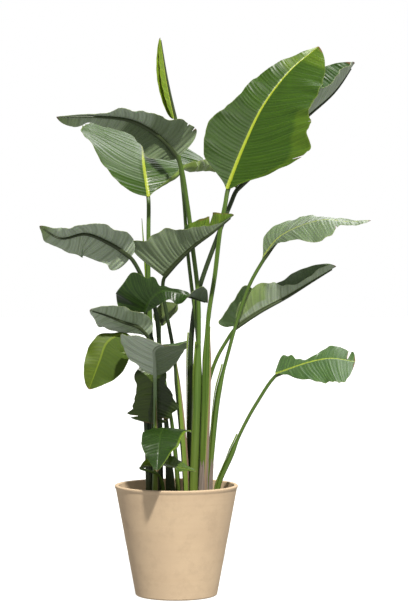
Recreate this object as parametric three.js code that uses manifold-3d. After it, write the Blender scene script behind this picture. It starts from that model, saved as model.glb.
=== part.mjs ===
// Bird of paradise plant in a plain clay pot. Millimetres, +Z up.
// The origin is the centre of the pot's flat base. -Y is the front.
import * as THREE from 'three';
import { mergeVertices } from 'three/addons/utils/BufferGeometryUtils.js';
import Module from 'manifold-3d';

const wasm = await Module();
wasm.setup();

// ---------- pot and soil ----------
const POT_HEIGHT = 295;
const RIM_RADIUS = 165;
const BASE_RADIUS = 110;
const WALL = 9;
const FLOOR = 13;
const LIP_HEIGHT = 8;
const LIP_PROUD = 1.2;
const LIP_ROUNDING = 3;
const LIP_SLOPE = 2;
const BASE_ROUNDING = 6;
const CORNER_STEPS = 3;
const DRAIN_RADIUS = 6;
const DRAIN_CIRCLE = 62;
const DRAIN_COUNT = 3;
const DRAIN_SIDES = 16;
const SOIL_TOP = POT_HEIGHT - 40;
const STEM_FOOT = SOIL_TOP - 45;
const GAP = 0.3;
const POT_SIDES = 48;

// ---------- leaves ----------
const THICKNESS = 1.2;
const HALF_COLUMNS = 4;
const LONG_BLADE = 200;
const LONG_BLADE_ROWS = 12;
const SHORT_BLADE_ROWS = 9;
const FIRST_ROW = 0.001; // share of the rib where the blade starts
const LAST_ROW = 0.9995;
const ROW_POWER = 1.35; // above 1 sets the rows closer together at the foot
const FOOT_POWER = 0.42; // how bluntly the blade's outline starts
const TIP_POWER = 0.7; // how bluntly it ends
const WIDTH_SHARES = [0.1, 0.2, 0.3, 0.4, 0.5, 0.6, 0.7, 0.8]; // of the rib, to find the widest place
const SWEEP = 0.42; // how far the margin runs ahead of the rib, as a share of the half width
const SWEEP_AT_FOOT = 0.25; // share of that sweep at the foot
const SWEEP_FULL = 0.3; // share of the rib where the sweep is full
const SWEEP_POWER = 1.6;
const LOBE_REACH = 0.05; // share of the rib that the backward lobes at the foot take
const CURL_POWER = 1.5;
const WAVE_POWER = 2.2; // keeps the waves near the margin
const SHORT_WAVE = 0.57; // length and height of the shorter wave laid over the long one
const SHORT_WAVE_HEIGHT = 0.5;

// ---------- stalks ----------
const STALK_SIDES = 7;
const PETIOLE_STEPS = 9;
const CURVE_DIVISIONS = 400;
const SHEATH_WIDE = 2; // the stalk's foot, where it sheathes the next, against its neck
const SHEATH_DEEP = 1.6;
const SHOULDER = 0.1; // share of the stalk over which a sheath with a shoulder runs out
const SHEATH_TAPER = 0.2;
const MIDRIB_TIP = 1.1; // radius at the blade's tip
const MIDRIB_POWER = 0.9;
const MIDRIB_END = 0.97; // share of the rib where the raised midrib ends
const MIDRIB_LEAD = 0.15; // share of the rib that sets the stalk's direction at the blade's foot
const DROOP_CLEAR = 0.7; // extra room over the midrib where the halves droop

// Each leaf: stalk points from the soil up, rib points from the blade's foot to its tip, the way
// its upper face looks at the foot, middle and tip, and for each half the fold up from the rib and
// the further curl to the margin, in degrees, at those three places. width: each half's fullness
// at even steps from foot to tip, which halfWidth shapes. Left and right are as seen on the upper
// face with the tip up. wave: height, length and phase of the margin. foot: the leaf's own power
// in place of FOOT_POWER. sheath: share of the stalk where a sheath ends in a shoulder.
const LEAVES = [
  { // tall, right, upper face forward
    stalk: [[71, -14, 288], [78, -10, 520], [85, 0, 735], [103, 5, 855], [118, 15, 980], [131, 20, 1045]],
    rib: [[135, 25, 1085], [180, 70, 1200], [235, 120, 1315], [310, 165, 1415], [390, 200, 1485]],
    face: [[-0.35, -0.75, 0.45], [-0.35, -0.7, 0.6], [-0.25, -0.75, 0.55]],
    width: { left: [20, 124, 128, 95, 80, 76, 65, 50, 36],
      right: [60, 268, 200, 168, 158, 162, 162, 180, 195] },
    fold: { left: [16, 14, 12], right: [10, 8, 5] },
    curl: { left: [0, 0, 10], right: [0, 0, -10] },
    wave: [4, 90, 0], lobe: 0.12, neck: 6, sheath: 0.57,
  },
  { // channelled, behind the first
    stalk: [[37, 32, 284], [37, 34, 520], [40, 38, 690], [56, 43, 800], [115, 60, 970], [145, 70, 1045]],
    rib: [[160, 80, 1090], [250, 165, 1175], [342, 225, 1280], [438, 265, 1367], [496, 290, 1449]],
    face: [[-0.5, -0.5, 0.7], [-0.5, -0.4, 0.75], [-0.5, -0.3, 0.8]],
    width: { left: [95, 95, 95, 125, 180], right: [95, 110, 190] },
    fold: { left: [35, 35, 35], right: [30, 30, 30] },
    curl: { left: [20, 25, 30], right: [10, 15, 15] },
    wave: [4, 90, 0], lobe: 0.12, neck: 6,
  },
  { // upper left, leaning back, glossy face forward
    stalk: [[-67, 24, 288], [-68, 24, 520], [-70, 24, 710], [-75, 24, 855], [-75, 30, 970]],
    rib: [[-75, 40, 1065], [-90, 100, 1155], [-95, 180, 1205], [-105, 270, 1238], [-115, 350, 1252]],
    face: [[0.1, -0.8, 0.6], [0.2, -0.55, 0.8], [0.2, -0.3, 0.9]],
    width: { left: [150, 150, 188, 176, 172, 178, 184, 186, 186],
      right: [20, 138, 180, 218, 238, 246, 252, 252, 232] },
    fold: { left: [22, 10, 6], right: [4, -10, 12] },
    curl: { left: [0, -5, -10], right: [0, -20, -30] },
    wave: [4, 90, 0], lobe: 0.12, neck: 5.5,
  },
  { // top left, arches over to the left, underside forward
    stalk: [[47, -22, 289], [55, -25, 525], [60, -18, 710], [57, -15, 815], [44, -18, 925], [30, -32, 1040]],
    rib: [[3, -60, 1165], [-40, -90, 1215], [-110, -130, 1257], [-200, -160, 1267], [-307, -175, 1264]],
    face: [[-0.6, 0.55, 0.6], [-0.2, 0.55, 0.8], [0, 0.45, 0.85]],
    width: { left: [175, 98, 56, 60, 54, 26, 12, 10, 10],
      right: [45, 76, 48, 37, 37, 33, 31, 70, 105] },
    fold: { left: [-5, -12, 0], right: [-8, -25, -15] },
    curl: { left: [0, -10, 20], right: [-5, -10, -10] },
    wave: [4, 90, 0], lobe: 0.12, neck: 6, sheath: 0.49,
  },
  { // middle, underside forward
    stalk: [[26, -6, 288], [10, -10, 495], [-8, -15, 655], [-25, -25, 750], [-35, -30, 810]],
    rib: [[-35, -40, 852], [0, -60, 890], [45, -90, 932], [96, -125, 968], [151, -162, 1011]],
    face: [[-0.6, 0.35, 0.6], [-0.6, 0.35, 0.6], [-0.5, 0.4, 0.7]],
    width: { left: [52, 74, 78, 88, 84], right: [170, 100, 86, 62, 51, 40, 24, 8, 10] },
    fold: { left: [60, 60, 60], right: [55, 58, 60] },
    curl: { left: [0, 0, 0], right: [0, 0, 0] },
    wave: [4, 90, 0], lobe: 0.12, foot: 0.2, neck: 5, sheath: 0.64,
  },
  { // left, arches over, underside forward
    stalk: [[-43, -12, 288], [-45, -13, 525], [-45, -24, 670], [-58, -40, 775], [-90, -50, 850]],
    rib: [[-120, -60, 902], [-170, -85, 938], [-235, -110, 965], [-300, -125, 953], [-354, -135, 983]],
    face: [[-0.6, 0.5, 0.6], [-0.1, 0.5, 0.85], [0.1, 0.5, 0.85]],
    width: { left: [64, 64, 42], right: [120, 66, 68, 70, 75, 65, 50, 66, 78] },
    fold: { left: [-5, -10, 10], right: [-10, -25, -10] },
    curl: { left: [0, 0, 20], right: [0, -10, 20] },
    wave: [4, 90, 0], lobe: 0.12, neck: 5.5,
  },
  { // right, level, drooping front half
    stalk: [[87, -4, 287], [97, -5, 415], [113, -10, 545], [140, -15, 655], [165, -20, 745],
      [195, -30, 830]],
    rib: [[228, -40, 900], [270, -50, 953], [327, -65, 985], [392, -80, 1001], [457, -88, 995],
      [512, -90, 999]],
    face: [[-0.5, -0.3, 0.85], [-0.15, -0.15, 0.97], [0, -0.2, 0.97]],
    width: { left: [10, 76, 92, 94, 66, 40, 36, 20, 20],
      right: [8, 14, 60, 92, 104, 100, 40, 60, 110] },
    fold: { left: [20, 0, 5], right: [5, -12, 0] },
    curl: { left: [0, 0, 10], right: [-20, -35, 0] },
    wave: [3, 110, 0], lobe: 0.12, neck: 5, sheath: 0.57,
  },
  { // right, half rolled like a boat
    stalk: [[85, 24, 284], [75, 30, 440], [80, 30, 535], [105, 20, 625], [135, 15, 680]],
    rib: [[155, 5, 717], [220, 5, 759], [295, 10, 799], [365, 20, 841], [428, 30, 878]],
    face: [[-0.6, 0.25, 0.8], [-0.5, 0.15, 0.85], [-0.5, 0, 0.85]],
    width: { left: [250, 175, 76, 52, 48, 56, 62, 70, 90],
      right: [10, 60, 71, 56, 31, 17, 23, 45, 80] },
    fold: { left: [30, 62, 50], right: [55, 50, 40] },
    curl: { left: [10, 20, 25], right: [20, 20, 25] },
    wave: [3, 90, 0], lobe: 0.7, neck: 5,
  },
  { // low on the right, on a long leaning stalk
    stalk: [[110, -20, 289], [143, -25, 370], [174, -35, 443], [214, -45, 517]],
    rib: [[262, -60, 594], [300, -75, 609], [352, -90, 627], [408, -100, 637], [470, -105, 628]],
    face: [[-0.4, -0.4, 0.85], [0, -0.5, 0.85], [0.2, -0.5, 0.85]],
    width: { left: [150, 70, 30, 18, 22, 64, 78, 90, 150],
      right: [8, 25, 71, 94, 102, 126, 158, 205, 300] },
    fold: { left: [5, 5, 5], right: [0, 0, 0] },
    curl: { left: [0, 0, 0], right: [-10, -10, 0] },
    wave: [4, 90, 0], lobe: 0.12, neck: 4.7, sheath: 0.53,
  },
  { // middle left, dark upper face forward, twisted tip
    stalk: [[-19, -4, 287], [-25, 0, 440], [-45, 0, 575], [-64, -6, 680], [-75, -25, 725]],
    rib: [[-84, -60, 755], [-66, -78, 792], [-34, -95, 814], [22, -108, 804], [84, -115, 783]],
    face: [[-0.3, -0.9, 0.3], [-0.2, -0.9, 0.3], [0.3, 0.6, 0.7]],
    width: { left: [190, 110, 50, 14, 8, 12, 20, 14, 12],
      right: [8, 27, 33, 33, 25, 38, 76, 120, 170] },
    fold: { left: [10, 8, 5], right: [5, 5, 5] },
    curl: { left: [0, 0, 0], right: [0, 0, 0] },
    wave: [3, 90, 0], lobe: 0.8, neck: 4.7,
  },
  { // left, pale underside
    stalk: [[-66, 2, 285], [-72, -6, 465], [-76, -23, 600], [-78, -42, 655]],
    rib: [[-75, -50, 695], [-100, -65, 720], [-140, -80, 734], [-185, -100, 752], [-225, -110, 764]],
    face: [[-0.3, 0.6, 0.75], [0, 0.6, 0.8], [0, 0.6, 0.8]],
    width: { left: [48, 48, 48], right: [13, 36, 65, 69, 67, 70, 72, 75, 75] },
    fold: { left: [10, 8, 8], right: [10, 8, 8] },
    curl: { left: [0, 0, 0], right: [0, 0, 0] },
    wave: [3, 80, 0], lobe: 0.12, neck: 4.5,
  },
  { // left, bends over and hangs
    stalk: [[-74, -17, 288], [-82, -14, 470], [-92, -16, 590], [-99, -26, 645]],
    rib: [[-105, -38, 675], [-140, -48, 698], [-180, -66, 680], [-201, -83, 629], [-228, -92, 555]],
    face: [[-0.2, -0.75, 0.6], [0.05, -0.9, 0.3], [0, -0.95, 0.1]],
    width: { left: [20, 71, 75, 73, 73, 74, 74, 70, 65], right: [10, 8, 10, 32, 41, 44, 46, 50, 60] },
    fold: { left: [-5, 0, 5], right: [-5, 0, 5] },
    curl: { left: [0, 0, 0], right: [0, 0, 0] },
    wave: [4, 90, 0], lobe: 0.12, neck: 4.5,
  },
  { // front left, arches towards the front
    stalk: [[-56, -36, 291], [-55, -48, 390], [-55, -64, 500]],
    rib: [[-55, -80, 590], [-55, -115, 630], [-55, -160, 660], [-40, -210, 675], [-25, -245, 675]],
    face: [[0, 0.5, 0.8], [0, 0.3, 0.9], [0, 0.2, 0.95]],
    width: { left: [86, 90, 88], right: [96, 96, 80] },
    fold: { left: [20, 14, 8], right: [24, 20, 14] },
    curl: { left: [0, 0, 0], right: [0, 0, 0] },
    wave: [4, 90, 0], lobe: 0.12, neck: 4.8,
  },
  { // hangs in front of the left stems, behind the stalk of the one before
    stalk: [[-22, -20, 288], [-26, -26, 440], [-30, -31, 530]],
    rib: [[-31, -38, 570], [-37, -46, 601], [-49, -63, 600], [-56, -57, 537], [-66, -48, 462]],
    face: [[0, 0.2, 0.9], [0, -0.8, 0.3], [0, -1, 0.1]],
    width: { left: [12, 12, 25, 25, 50, 78, 74, 98, 150],
      right: [12, 20, 60, 50, 52, 60, 76, 134, 215] },
    fold: { left: [8, 5, 5], right: [8, 5, 5] },
    curl: { left: [0, 0, 0], right: [0, 0, 0] },
    wave: [2, 90, 0], lobe: 0.12, neck: 4,
  },
  { // low, hangs to the front
    stalk: [[-8, -36, 291], [-15, -45, 360], [-20, -52, 415]],
    rib: [[-30, -65, 450], [-34, -112, 455], [-40, -175, 432], [-46, -240, 354]],
    face: [[-0.2, -0.5, 0.8], [-0.3, -0.6, 0.7], [-0.3, -0.8, 0.5]],
    width: { left: [98, 58, 38], right: [50, 50, 40] },
    fold: { left: [-24, -6, 5], right: [5, 8, 5] },
    curl: { left: [0, 0, 0], right: [0, 0, 0] },
    wave: [3, 70, 0], lobe: 0.12, neck: 4,
  },
  { // lowest
    stalk: [[-35, -34, 291], [-45, -58, 325]],
    rib: [[-91, -150, 358], [-45, -140, 366], [10, -120, 352], [55, -100, 340]],
    face: [[0, -0.6, 0.8], [0, -0.6, 0.8], [0, -0.6, 0.8]],
    width: { left: [40, 45, 30, 25, 20], right: [12, 14, 14, 12, 10] },
    fold: { left: [10, 8, 5], right: [10, 8, 5] },
    curl: { left: [0, 0, 0], right: [0, 0, 0] },
    wave: [3, 70, 0], lobe: 0.12, foot: 0.8, neck: 3.5,
  },
  { // small, behind the dark middle leaf
    stalk: [[4, 22, 285], [-10, 22, 440], [-32, 18, 575], [-44, 12, 670]],
    rib: [[-45, 10, 722], [-32, 15, 744], [-11, 15, 763], [3, 15, 778]],
    face: [[0, 0.8, 0.5], [0, 0.8, 0.5], [0, 0.8, 0.5]],
    width: { left: [20, 18, 18], right: [34, 34, 30] },
    fold: { left: [10, 8, 8], right: [10, 8, 8] },
    curl: { left: [0, 0, 0], right: [0, 0, 0] },
    wave: [3, 70, 0], lobe: 0.12, neck: 4,
  },
  { // tallest, young, still folded
    stalk: [[62, 8, 286], [65, 5, 520], [55, 4, 710], [40, 2, 830], [30, -4, 920], [20, -12, 1055],
      [6, -18, 1190]],
    rib: [[-6, -20, 1270], [-19, -20, 1330], [-29, -20, 1385], [-37, -15, 1440], [-43, -15, 1485]],
    face: [[-0.8, -0.5, 0.2], [-0.8, -0.5, 0.2], [-0.8, -0.5, 0.2]],
    width: { left: [22, 24, 22], right: [20, 22, 20] },
    fold: { left: [58, 62, 62], right: [58, 62, 62] },
    curl: { left: [20, 20, 20], right: [20, 20, 20] },
    wave: [0, 90, 0], lobe: 0.05, neck: 4.5,
  },
];
// A thin rolled leaf that grows out of the third leaf's stalk.
const SPEAR_PARENT = 2;
const SPEAR_TIP = 0.7;
const SPEAR_RADIUS = 4.5;
const SPEAR = [[-68, 24, 560], [-74, 26, 700], [-82, 32, 855], [-89, 36, 950], [-93, 38, 1007]];

const vector = (point) => new THREE.Vector3(...point);
const radians = THREE.MathUtils.degToRad;

// Value at share r of a list of equally spaced stations, eased between them.
function between(stations, r) {
  const spans = stations.length - 1;
  const place = THREE.MathUtils.clamp(r, 0, 1) * spans;
  const i = Math.min(Math.floor(place), spans - 1);
  const t = (place - i) ** 2 * (3 - 2 * (place - i));
  if (typeof stations[0] === 'number') return stations[i] * (1 - t) + stations[i + 1] * t;
  return vector(stations[i]).lerp(vector(stations[i + 1]), t);
}

// The rib's place, direction, upward normal and rightward side at a distance from the blade's foot.
function ribOf(leaf) {
  const curve = new THREE.CatmullRomCurve3(leaf.rib.map(vector));
  const length = curve.getLength();
  const frame = (distance) => {
    const inside = THREE.MathUtils.clamp(distance, 0, length);
    const along = curve.getTangentAt(inside / length);
    const place = curve.getPointAt(inside / length).addScaledVector(along, distance - inside);
    const up = between(leaf.face, inside / length);
    up.addScaledVector(along, -up.dot(along)).normalize();
    return { place, along, up, side: along.clone().cross(up) };
  };
  return { length, frame };
}

// Half width of one side of the blade at share u of the rib.
function halfWidth(leaf, name, u) {
  const foot = leaf.foot ?? FOOT_POWER;
  const widest = foot / (foot + TIP_POWER);
  const outline = (u / widest) ** foot * ((1 - u) / (1 - widest)) ** TIP_POWER;
  return between(leaf.width[name], u) * outline;
}

const largestHalf = (leaf, name) => Math.max(...WIDTH_SHARES.map((u) => halfWidth(leaf, name, u)));

// One point of the blade's middle surface, u along the rib, v from the rib out to the margin.
function halfRow(leaf, rib, u, side, columns) {
  const name = side < 0 ? 'left' : 'right';
  const width = halfWidth(leaf, name, u);
  const ease = SWEEP_AT_FOOT + (1 - SWEEP_AT_FOOT) * Math.min(1, u / SWEEP_FULL);
  const forward = width * (SWEEP * ease * (1 - u ** 3) - leaf.lobe * Math.exp(-u / LOBE_REACH));
  const [height, wavelength, phase] = leaf.wave;
  const full = Math.min(1, (2 * width) / largestHalf(leaf, name));
  const row = [];
  let across = 0;
  let rise = 0;
  let lastAngle = null;
  for (let j = 0; j <= columns; j += 1) {
    const v = j / columns;
    const distance = u * rib.length + forward * v ** SWEEP_POWER;
    const share = distance / rib.length;
    const curl = between(leaf.curl[name], share) * v ** CURL_POWER;
    const angle = radians(between(leaf.fold[name], share) + curl);
    if (lastAngle !== null) {
      const middle = (angle + lastAngle) / 2;
      across += Math.cos(middle) * width / columns;
      rise += Math.sin(middle) * width / columns;
    }
    lastAngle = angle;
    const turn = (2 * Math.PI * distance) / wavelength;
    const ripple = Math.sin(turn + phase + side)
      + SHORT_WAVE_HEIGHT * Math.sin(turn / SHORT_WAVE + 2 * phase);
    const wave = height * ripple * full * v ** WAVE_POWER;
    const { place, up, side: right } = rib.frame(distance);
    row.push(place
      .addScaledVector(right, side * (across - wave * Math.sin(angle)))
      .addScaledVector(up, rise + wave * Math.cos(angle)));
  }
  return row;
}

// Shares of the rib where the blade's rows stand.
function bladeStations(count) {
  const stations = [];
  for (let i = 0; i <= count; i += 1) {
    stations.push(FIRST_ROW + (LAST_ROW - FIRST_ROW) * (i / count) ** ROW_POWER);
  }
  return stations;
}

function bladeGrid(leaf, rib, rows, columns) {
  return bladeStations(rows).map((u) => {
    const left = halfRow(leaf, rib, u, -1, columns);
    const right = halfRow(leaf, rib, u, 1, columns);
    return [...left.reverse(), ...right.slice(1)];
  });
}

// A closed sheet: the grid moved half a thickness to each side, split alike on both faces.
function sheet(grid, thickness) {
  const rows = grid.length;
  const columns = grid[0].length;
  const positions = [];
  for (const sign of [0.5, -0.5]) {
    for (let i = 0; i < rows; i += 1) {
      for (let j = 0; j < columns; j += 1) {
        const along = grid[Math.min(i + 1, rows - 1)][j].clone().sub(grid[Math.max(i - 1, 0)][j]);
        const across = grid[i][Math.min(j + 1, columns - 1)].clone().sub(grid[i][Math.max(j - 1, 0)]);
        const normal = across.cross(along).normalize();
        positions.push(...grid[i][j].clone().addScaledVector(normal, sign * thickness).toArray());
      }
    }
  }
  const top = (i, j) => i * columns + j;
  const bottom = (i, j) => rows * columns + i * columns + j;
  const index = [];
  const quad = (a, b, c, d) => index.push(a, b, c, a, c, d);
  for (let i = 0; i < rows - 1; i += 1) {
    for (let j = 0; j < columns - 1; j += 1) {
      quad(top(i, j), top(i, j + 1), top(i + 1, j + 1), top(i + 1, j));
      index.push(bottom(i, j), bottom(i + 1, j + 1), bottom(i, j + 1));
      index.push(bottom(i, j), bottom(i + 1, j), bottom(i + 1, j + 1));
    }
    quad(top(i, 0), top(i + 1, 0), bottom(i + 1, 0), bottom(i, 0));
    quad(top(i + 1, columns - 1), top(i, columns - 1), bottom(i, columns - 1), bottom(i + 1, columns - 1));
  }
  for (let j = 0; j < columns - 1; j += 1) {
    quad(top(0, j + 1), top(0, j), bottom(0, j), bottom(0, j + 1));
    quad(top(rows - 1, j), top(rows - 1, j + 1), bottom(rows - 1, j + 1), bottom(rows - 1, j));
  }
  return meshOf(positions, index);
}

// Dry leaf bases that still hug the main stems: the stem, the top, and the share of a turn covered.
const DRY_THICKNESS = 1;
const DRY_CLEAR = 1.6; // from the stem's surface to the husk's middle
const DRY_ROWS = 7;
const DRY_COLUMNS = 5;
const DRY_ROOM = 2 * GAP; // round the husk in the soil
const DRY_FOOT = STEM_FOOT + 12;
const DRY_TAPER = 0.35;
const DRY_TEAR = 9; // height of the torn top edge's points
const DRY_TEAR_STEP = 2.1; // radians from one column of the torn edge to the next
const DRY_SHEATHS = [
  { stem: 0, top: 352, from: 135, to: 225 },
  { stem: 0, top: 440, from: 62, to: 108 },
  { stem: 6, top: 356, from: 45, to: 130 },
];

// Centre, axes and half sizes of a stalk at a height, straight between its stations.
function atHeight(stations, z) {
  const i = Math.max(1, stations.findIndex(({ place }) => place.z >= z));
  const [below, above] = [stations[i - 1], stations[i]];
  const t = (z - below.place.z) / (above.place.z - below.place.z);
  const mix = (name) => below[name].clone().lerp(above[name], t);
  return {
    place: mix('place'), up: mix('up'), side: mix('side'),
    wide: below.wide + (above.wide - below.wide) * t,
    deep: below.deep + (above.deep - below.deep) * t,
  };
}

// A husk round part of a stem. extra makes it larger all round, to cut its room in the soil.
function drySheath(stations, { top, from, to }, extra = 0) {
  const foot = DRY_FOOT - extra;
  const middle = (from + to) / 2;
  const grid = [];
  for (let i = 0; i <= DRY_ROWS; i += 1) {
    const rise = i / DRY_ROWS;
    const reach = ((to - from) / 2 + 3 * extra) * (1 - DRY_TAPER * rise ** 3);
    const row = [];
    for (let j = 0; j <= DRY_COLUMNS; j += 1) {
      const torn = DRY_TEAR * Math.sin(DRY_TEAR_STEP * j + top) * rise ** 4;
      const angle = radians(middle + reach * ((2 * j) / DRY_COLUMNS - 1));
      const { place, up, side, wide, deep } = atHeight(stations, foot + (top + torn - foot) * rise);
      row.push(place
        .addScaledVector(side, Math.sin(angle) * (wide + DRY_CLEAR))
        .addScaledVector(up, -Math.cos(angle) * (deep + DRY_CLEAR)));
    }
    grid.push(row);
  }
  return sheet(grid, DRY_THICKNESS + 2 * extra);
}

function meshOf(positions, index) {
  const geometry = new THREE.BufferGeometry();
  geometry.setAttribute('position', new THREE.Float32BufferAttribute(positions, 3));
  geometry.setIndex(index);
  return geometry;
}

// A closed rod through stations { place, up, side, wide, deep }, with `sides` faces round it.
function rod(stations, sides, extra = 0) {
  const positions = [];
  for (const station of stations) {
    for (let k = 0; k < sides; k += 1) {
      const angle = (2 * Math.PI * (k + 0.5)) / sides;
      positions.push(...station.place.clone()
        .addScaledVector(station.side, Math.sin(angle) * (station.wide + extra))
        .addScaledVector(station.up, -Math.cos(angle) * (station.deep + extra)).toArray());
    }
  }
  const last = stations.length - 1;
  const index = [];
  const at = (i, k) => i * sides + (k % sides);
  for (let i = 0; i < last; i += 1) {
    for (let k = 0; k < sides; k += 1) {
      index.push(at(i, k), at(i + 1, k + 1), at(i, k + 1), at(i, k), at(i + 1, k), at(i + 1, k + 1));
    }
  }
  for (let k = 1; k < sides - 1; k += 1) {
    index.push(at(0, 0), at(0, k), at(0, k + 1));
    index.push(at(last, 0), at(last, k + 1), at(last, k));
  }
  return meshOf(positions, index);
}

// The midrib's centre under the blade: clear of the blade by the gap, also where the halves droop.
function midribPlace(leaf, rib, distance, radius) {
  const { place, along, up, side } = rib.frame(distance);
  const share = distance / rib.length;
  const droop = Math.min(0, between(leaf.fold.left, share), between(leaf.fold.right, share));
  const clear = THICKNESS / 2 + GAP + radius * (1 + DROOP_CLEAR * Math.tan(radians(droop)) ** 2);
  return { place: place.addScaledVector(up, -clear), along, up, side, wide: radius, deep: radius };
}

const midribRadius = (leaf, u) => MIDRIB_TIP + (leaf.neck - MIDRIB_TIP) * (1 - u) ** MIDRIB_POWER;

// How far the stalk's sheath swells it, from 1 at the foot, either to a shoulder or evenly.
function sheathSwell(leaf, share) {
  if (!leaf.sheath) return (1 - share) ** 2;
  const over = 1 - THREE.MathUtils.smoothstep(share, leaf.sheath - SHOULDER, leaf.sheath);
  return over * (1 - (SHEATH_TAPER * share) / leaf.sheath);
}

// The stalk rises from its foot in the soil to the blade's foot, and runs on as the raised midrib.
function stalkStations(leaf, rib, rows) {
  const foot = vector([leaf.stalk[0][0], leaf.stalk[0][1], STEM_FOOT]);
  const joint = midribPlace(leaf, rib, 0, leaf.neck).place;
  const lead = midribPlace(leaf, rib, MIDRIB_LEAD * rib.length, leaf.neck).place;
  const points = [foot, ...leaf.stalk.map(vector), joint, lead];
  const curve = new THREE.CatmullRomCurve3(points);
  curve.arcLengthDivisions = CURVE_DIVISIONS;
  const lengths = curve.getLengths();
  const toJoint = Math.round((CURVE_DIVISIONS * (points.length - 2)) / (points.length - 1));
  const jointShare = lengths[toJoint] / lengths[CURVE_DIVISIONS];
  const stations = [];
  for (let i = 0; i < PETIOLE_STEPS; i += 1) {
    const share = i / PETIOLE_STEPS;
    const along = curve.getTangentAt(share * jointShare);
    const up = vector(leaf.face[0]);
    up.addScaledVector(along, -up.dot(along)).normalize();
    const swell = sheathSwell(leaf, share);
    stations.push({
      place: curve.getPointAt(share * jointShare),
      up,
      side: along.clone().cross(up),
      wide: leaf.neck * (1 + (SHEATH_WIDE - 1) * swell),
      deep: leaf.neck * (1 + (SHEATH_DEEP - 1) * swell),
    });
  }
  for (const u of bladeStations(rows).filter((share) => share < MIDRIB_END)) {
    stations.push(midribPlace(leaf, rib, u * rib.length, midribRadius(leaf, u)));
  }
  return stations;
}

function spearStations() {
  const curve = new THREE.CatmullRomCurve3(SPEAR.map(vector));
  const stations = [];
  for (let i = 0; i <= PETIOLE_STEPS; i += 1) {
    const share = i / PETIOLE_STEPS;
    const along = curve.getTangentAt(share);
    const up = new THREE.Vector3(0, -1, 0);
    up.addScaledVector(along, -up.dot(along)).normalize();
    const radius = SPEAR_TIP + (SPEAR_RADIUS - SPEAR_TIP) * (1 - share ** 3);
    const side = along.clone().cross(up);
    stations.push({ place: curve.getPointAt(share), up, side, wide: radius, deep: radius });
  }
  return stations;
}

// ---------- booleans ----------
function solid(geometry) {
  const bare = geometry.clone();
  bare.deleteAttribute('normal');
  bare.deleteAttribute('uv');
  const merged = mergeVertices(bare, 1e-4);
  return new wasm.Manifold(new wasm.Mesh({
    numProp: 3,
    vertProperties: new Float32Array(merged.attributes.position.array),
    triVerts: new Uint32Array(merged.index.array),
  }));
}

function geometryOf(manifold) {
  const mesh = manifold.getMesh();
  return meshOf(Array.from(mesh.vertProperties), Array.from(mesh.triVerts));
}

// ---------- pot ----------
const taper = (RIM_RADIUS - LIP_PROUD - BASE_RADIUS) / (POT_HEIGHT - BASE_ROUNDING);
const outerRadius = (z) => BASE_RADIUS + taper * (z - BASE_ROUNDING);
const innerRadius = (z) => outerRadius(z) - WALL;

function turned(profile) {
  const geometry = new THREE.LatheGeometry(profile.map(([r, z]) => new THREE.Vector2(r, z)), POT_SIDES);
  geometry.rotateX(Math.PI / 2);
  return geometry;
}

// A rounded corner of the profile about (r, z), from one angle to another in degrees.
function roundCorner(r, z, radius, from, to) {
  const points = [];
  for (let i = 0; i <= CORNER_STEPS; i += 1) {
    const angle = radians(from + ((to - from) * i) / CORNER_STEPS);
    points.push([r + radius * Math.cos(angle), z + radius * Math.sin(angle)]);
  }
  return points;
}

function potGeometry() {
  const lipFoot = POT_HEIGHT - LIP_HEIGHT;
  const lipTop = POT_HEIGHT - LIP_ROUNDING;
  let pot = solid(turned([
    [0, 0],
    ...roundCorner(BASE_RADIUS - BASE_ROUNDING, BASE_ROUNDING, BASE_ROUNDING, -90, 0),
    [outerRadius(lipFoot - LIP_SLOPE), lipFoot - LIP_SLOPE],
    [outerRadius(lipFoot) + LIP_PROUD, lipFoot],
    ...roundCorner(RIM_RADIUS - LIP_ROUNDING, lipTop, LIP_ROUNDING, 0, 90),
    ...roundCorner(innerRadius(lipTop) + LIP_ROUNDING, lipTop, LIP_ROUNDING, 90, 180),
    [innerRadius(FLOOR), FLOOR],
    [0, FLOOR],
  ]));
  for (let i = 0; i < DRAIN_COUNT; i += 1) {
    const angle = (2 * Math.PI * i) / DRAIN_COUNT + Math.PI / 2;
    const drill = new THREE.CylinderGeometry(DRAIN_RADIUS, DRAIN_RADIUS, 3 * FLOOR, DRAIN_SIDES);
    drill.rotateX(Math.PI / 2);
    drill.translate(DRAIN_CIRCLE * Math.cos(angle), DRAIN_CIRCLE * Math.sin(angle), FLOOR / 2);
    pot = pot.subtract(solid(drill));
  }
  return geometryOf(pot);
}

// The soil, with a plain hole for each stem and each husk.
function soilGeometry(stems, husks) {
  const foot = FLOOR + GAP;
  let soil = solid(turned([
    [0, foot], [innerRadius(foot) - GAP, foot], [innerRadius(SOIL_TOP) - GAP, SOIL_TOP], [0, SOIL_TOP],
  ]));
  for (const stations of stems) {
    const above = stations.findIndex(({ place }) => place.z > SOIL_TOP) + 1;
    const deeper = { ...stations[0], place: stations[0].place.clone().setZ(STEM_FOOT - GAP) };
    soil = soil.subtract(solid(rod([deeper, ...stations.slice(0, above + 1)], STALK_SIDES, GAP)));
  }
  for (const husk of husks) soil = soil.subtract(solid(husk));
  return geometryOf(soil);
}

// ---------- scene graph ----------
const clay = new THREE.MeshStandardMaterial({ color: '#cdb592', roughness: 0.85, metalness: 0 });
const earth = new THREE.MeshStandardMaterial({ color: '#3b2d22', roughness: 1, metalness: 0 });
const leafGreen = new THREE.MeshStandardMaterial({ color: '#4a7a2c', roughness: 0.35, metalness: 0 });
const stalkGreen = new THREE.MeshStandardMaterial({ color: '#7f9a3c', roughness: 0.45, metalness: 0 });
const dryBrown = new THREE.MeshStandardMaterial({ color: '#7a6a5c', roughness: 0.9, metalness: 0 });

const group = new THREE.Group();
function add(name, geometry, material) {
  const mesh = new THREE.Mesh(geometry, material);
  mesh.name = name;
  group.add(mesh);
}

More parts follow.
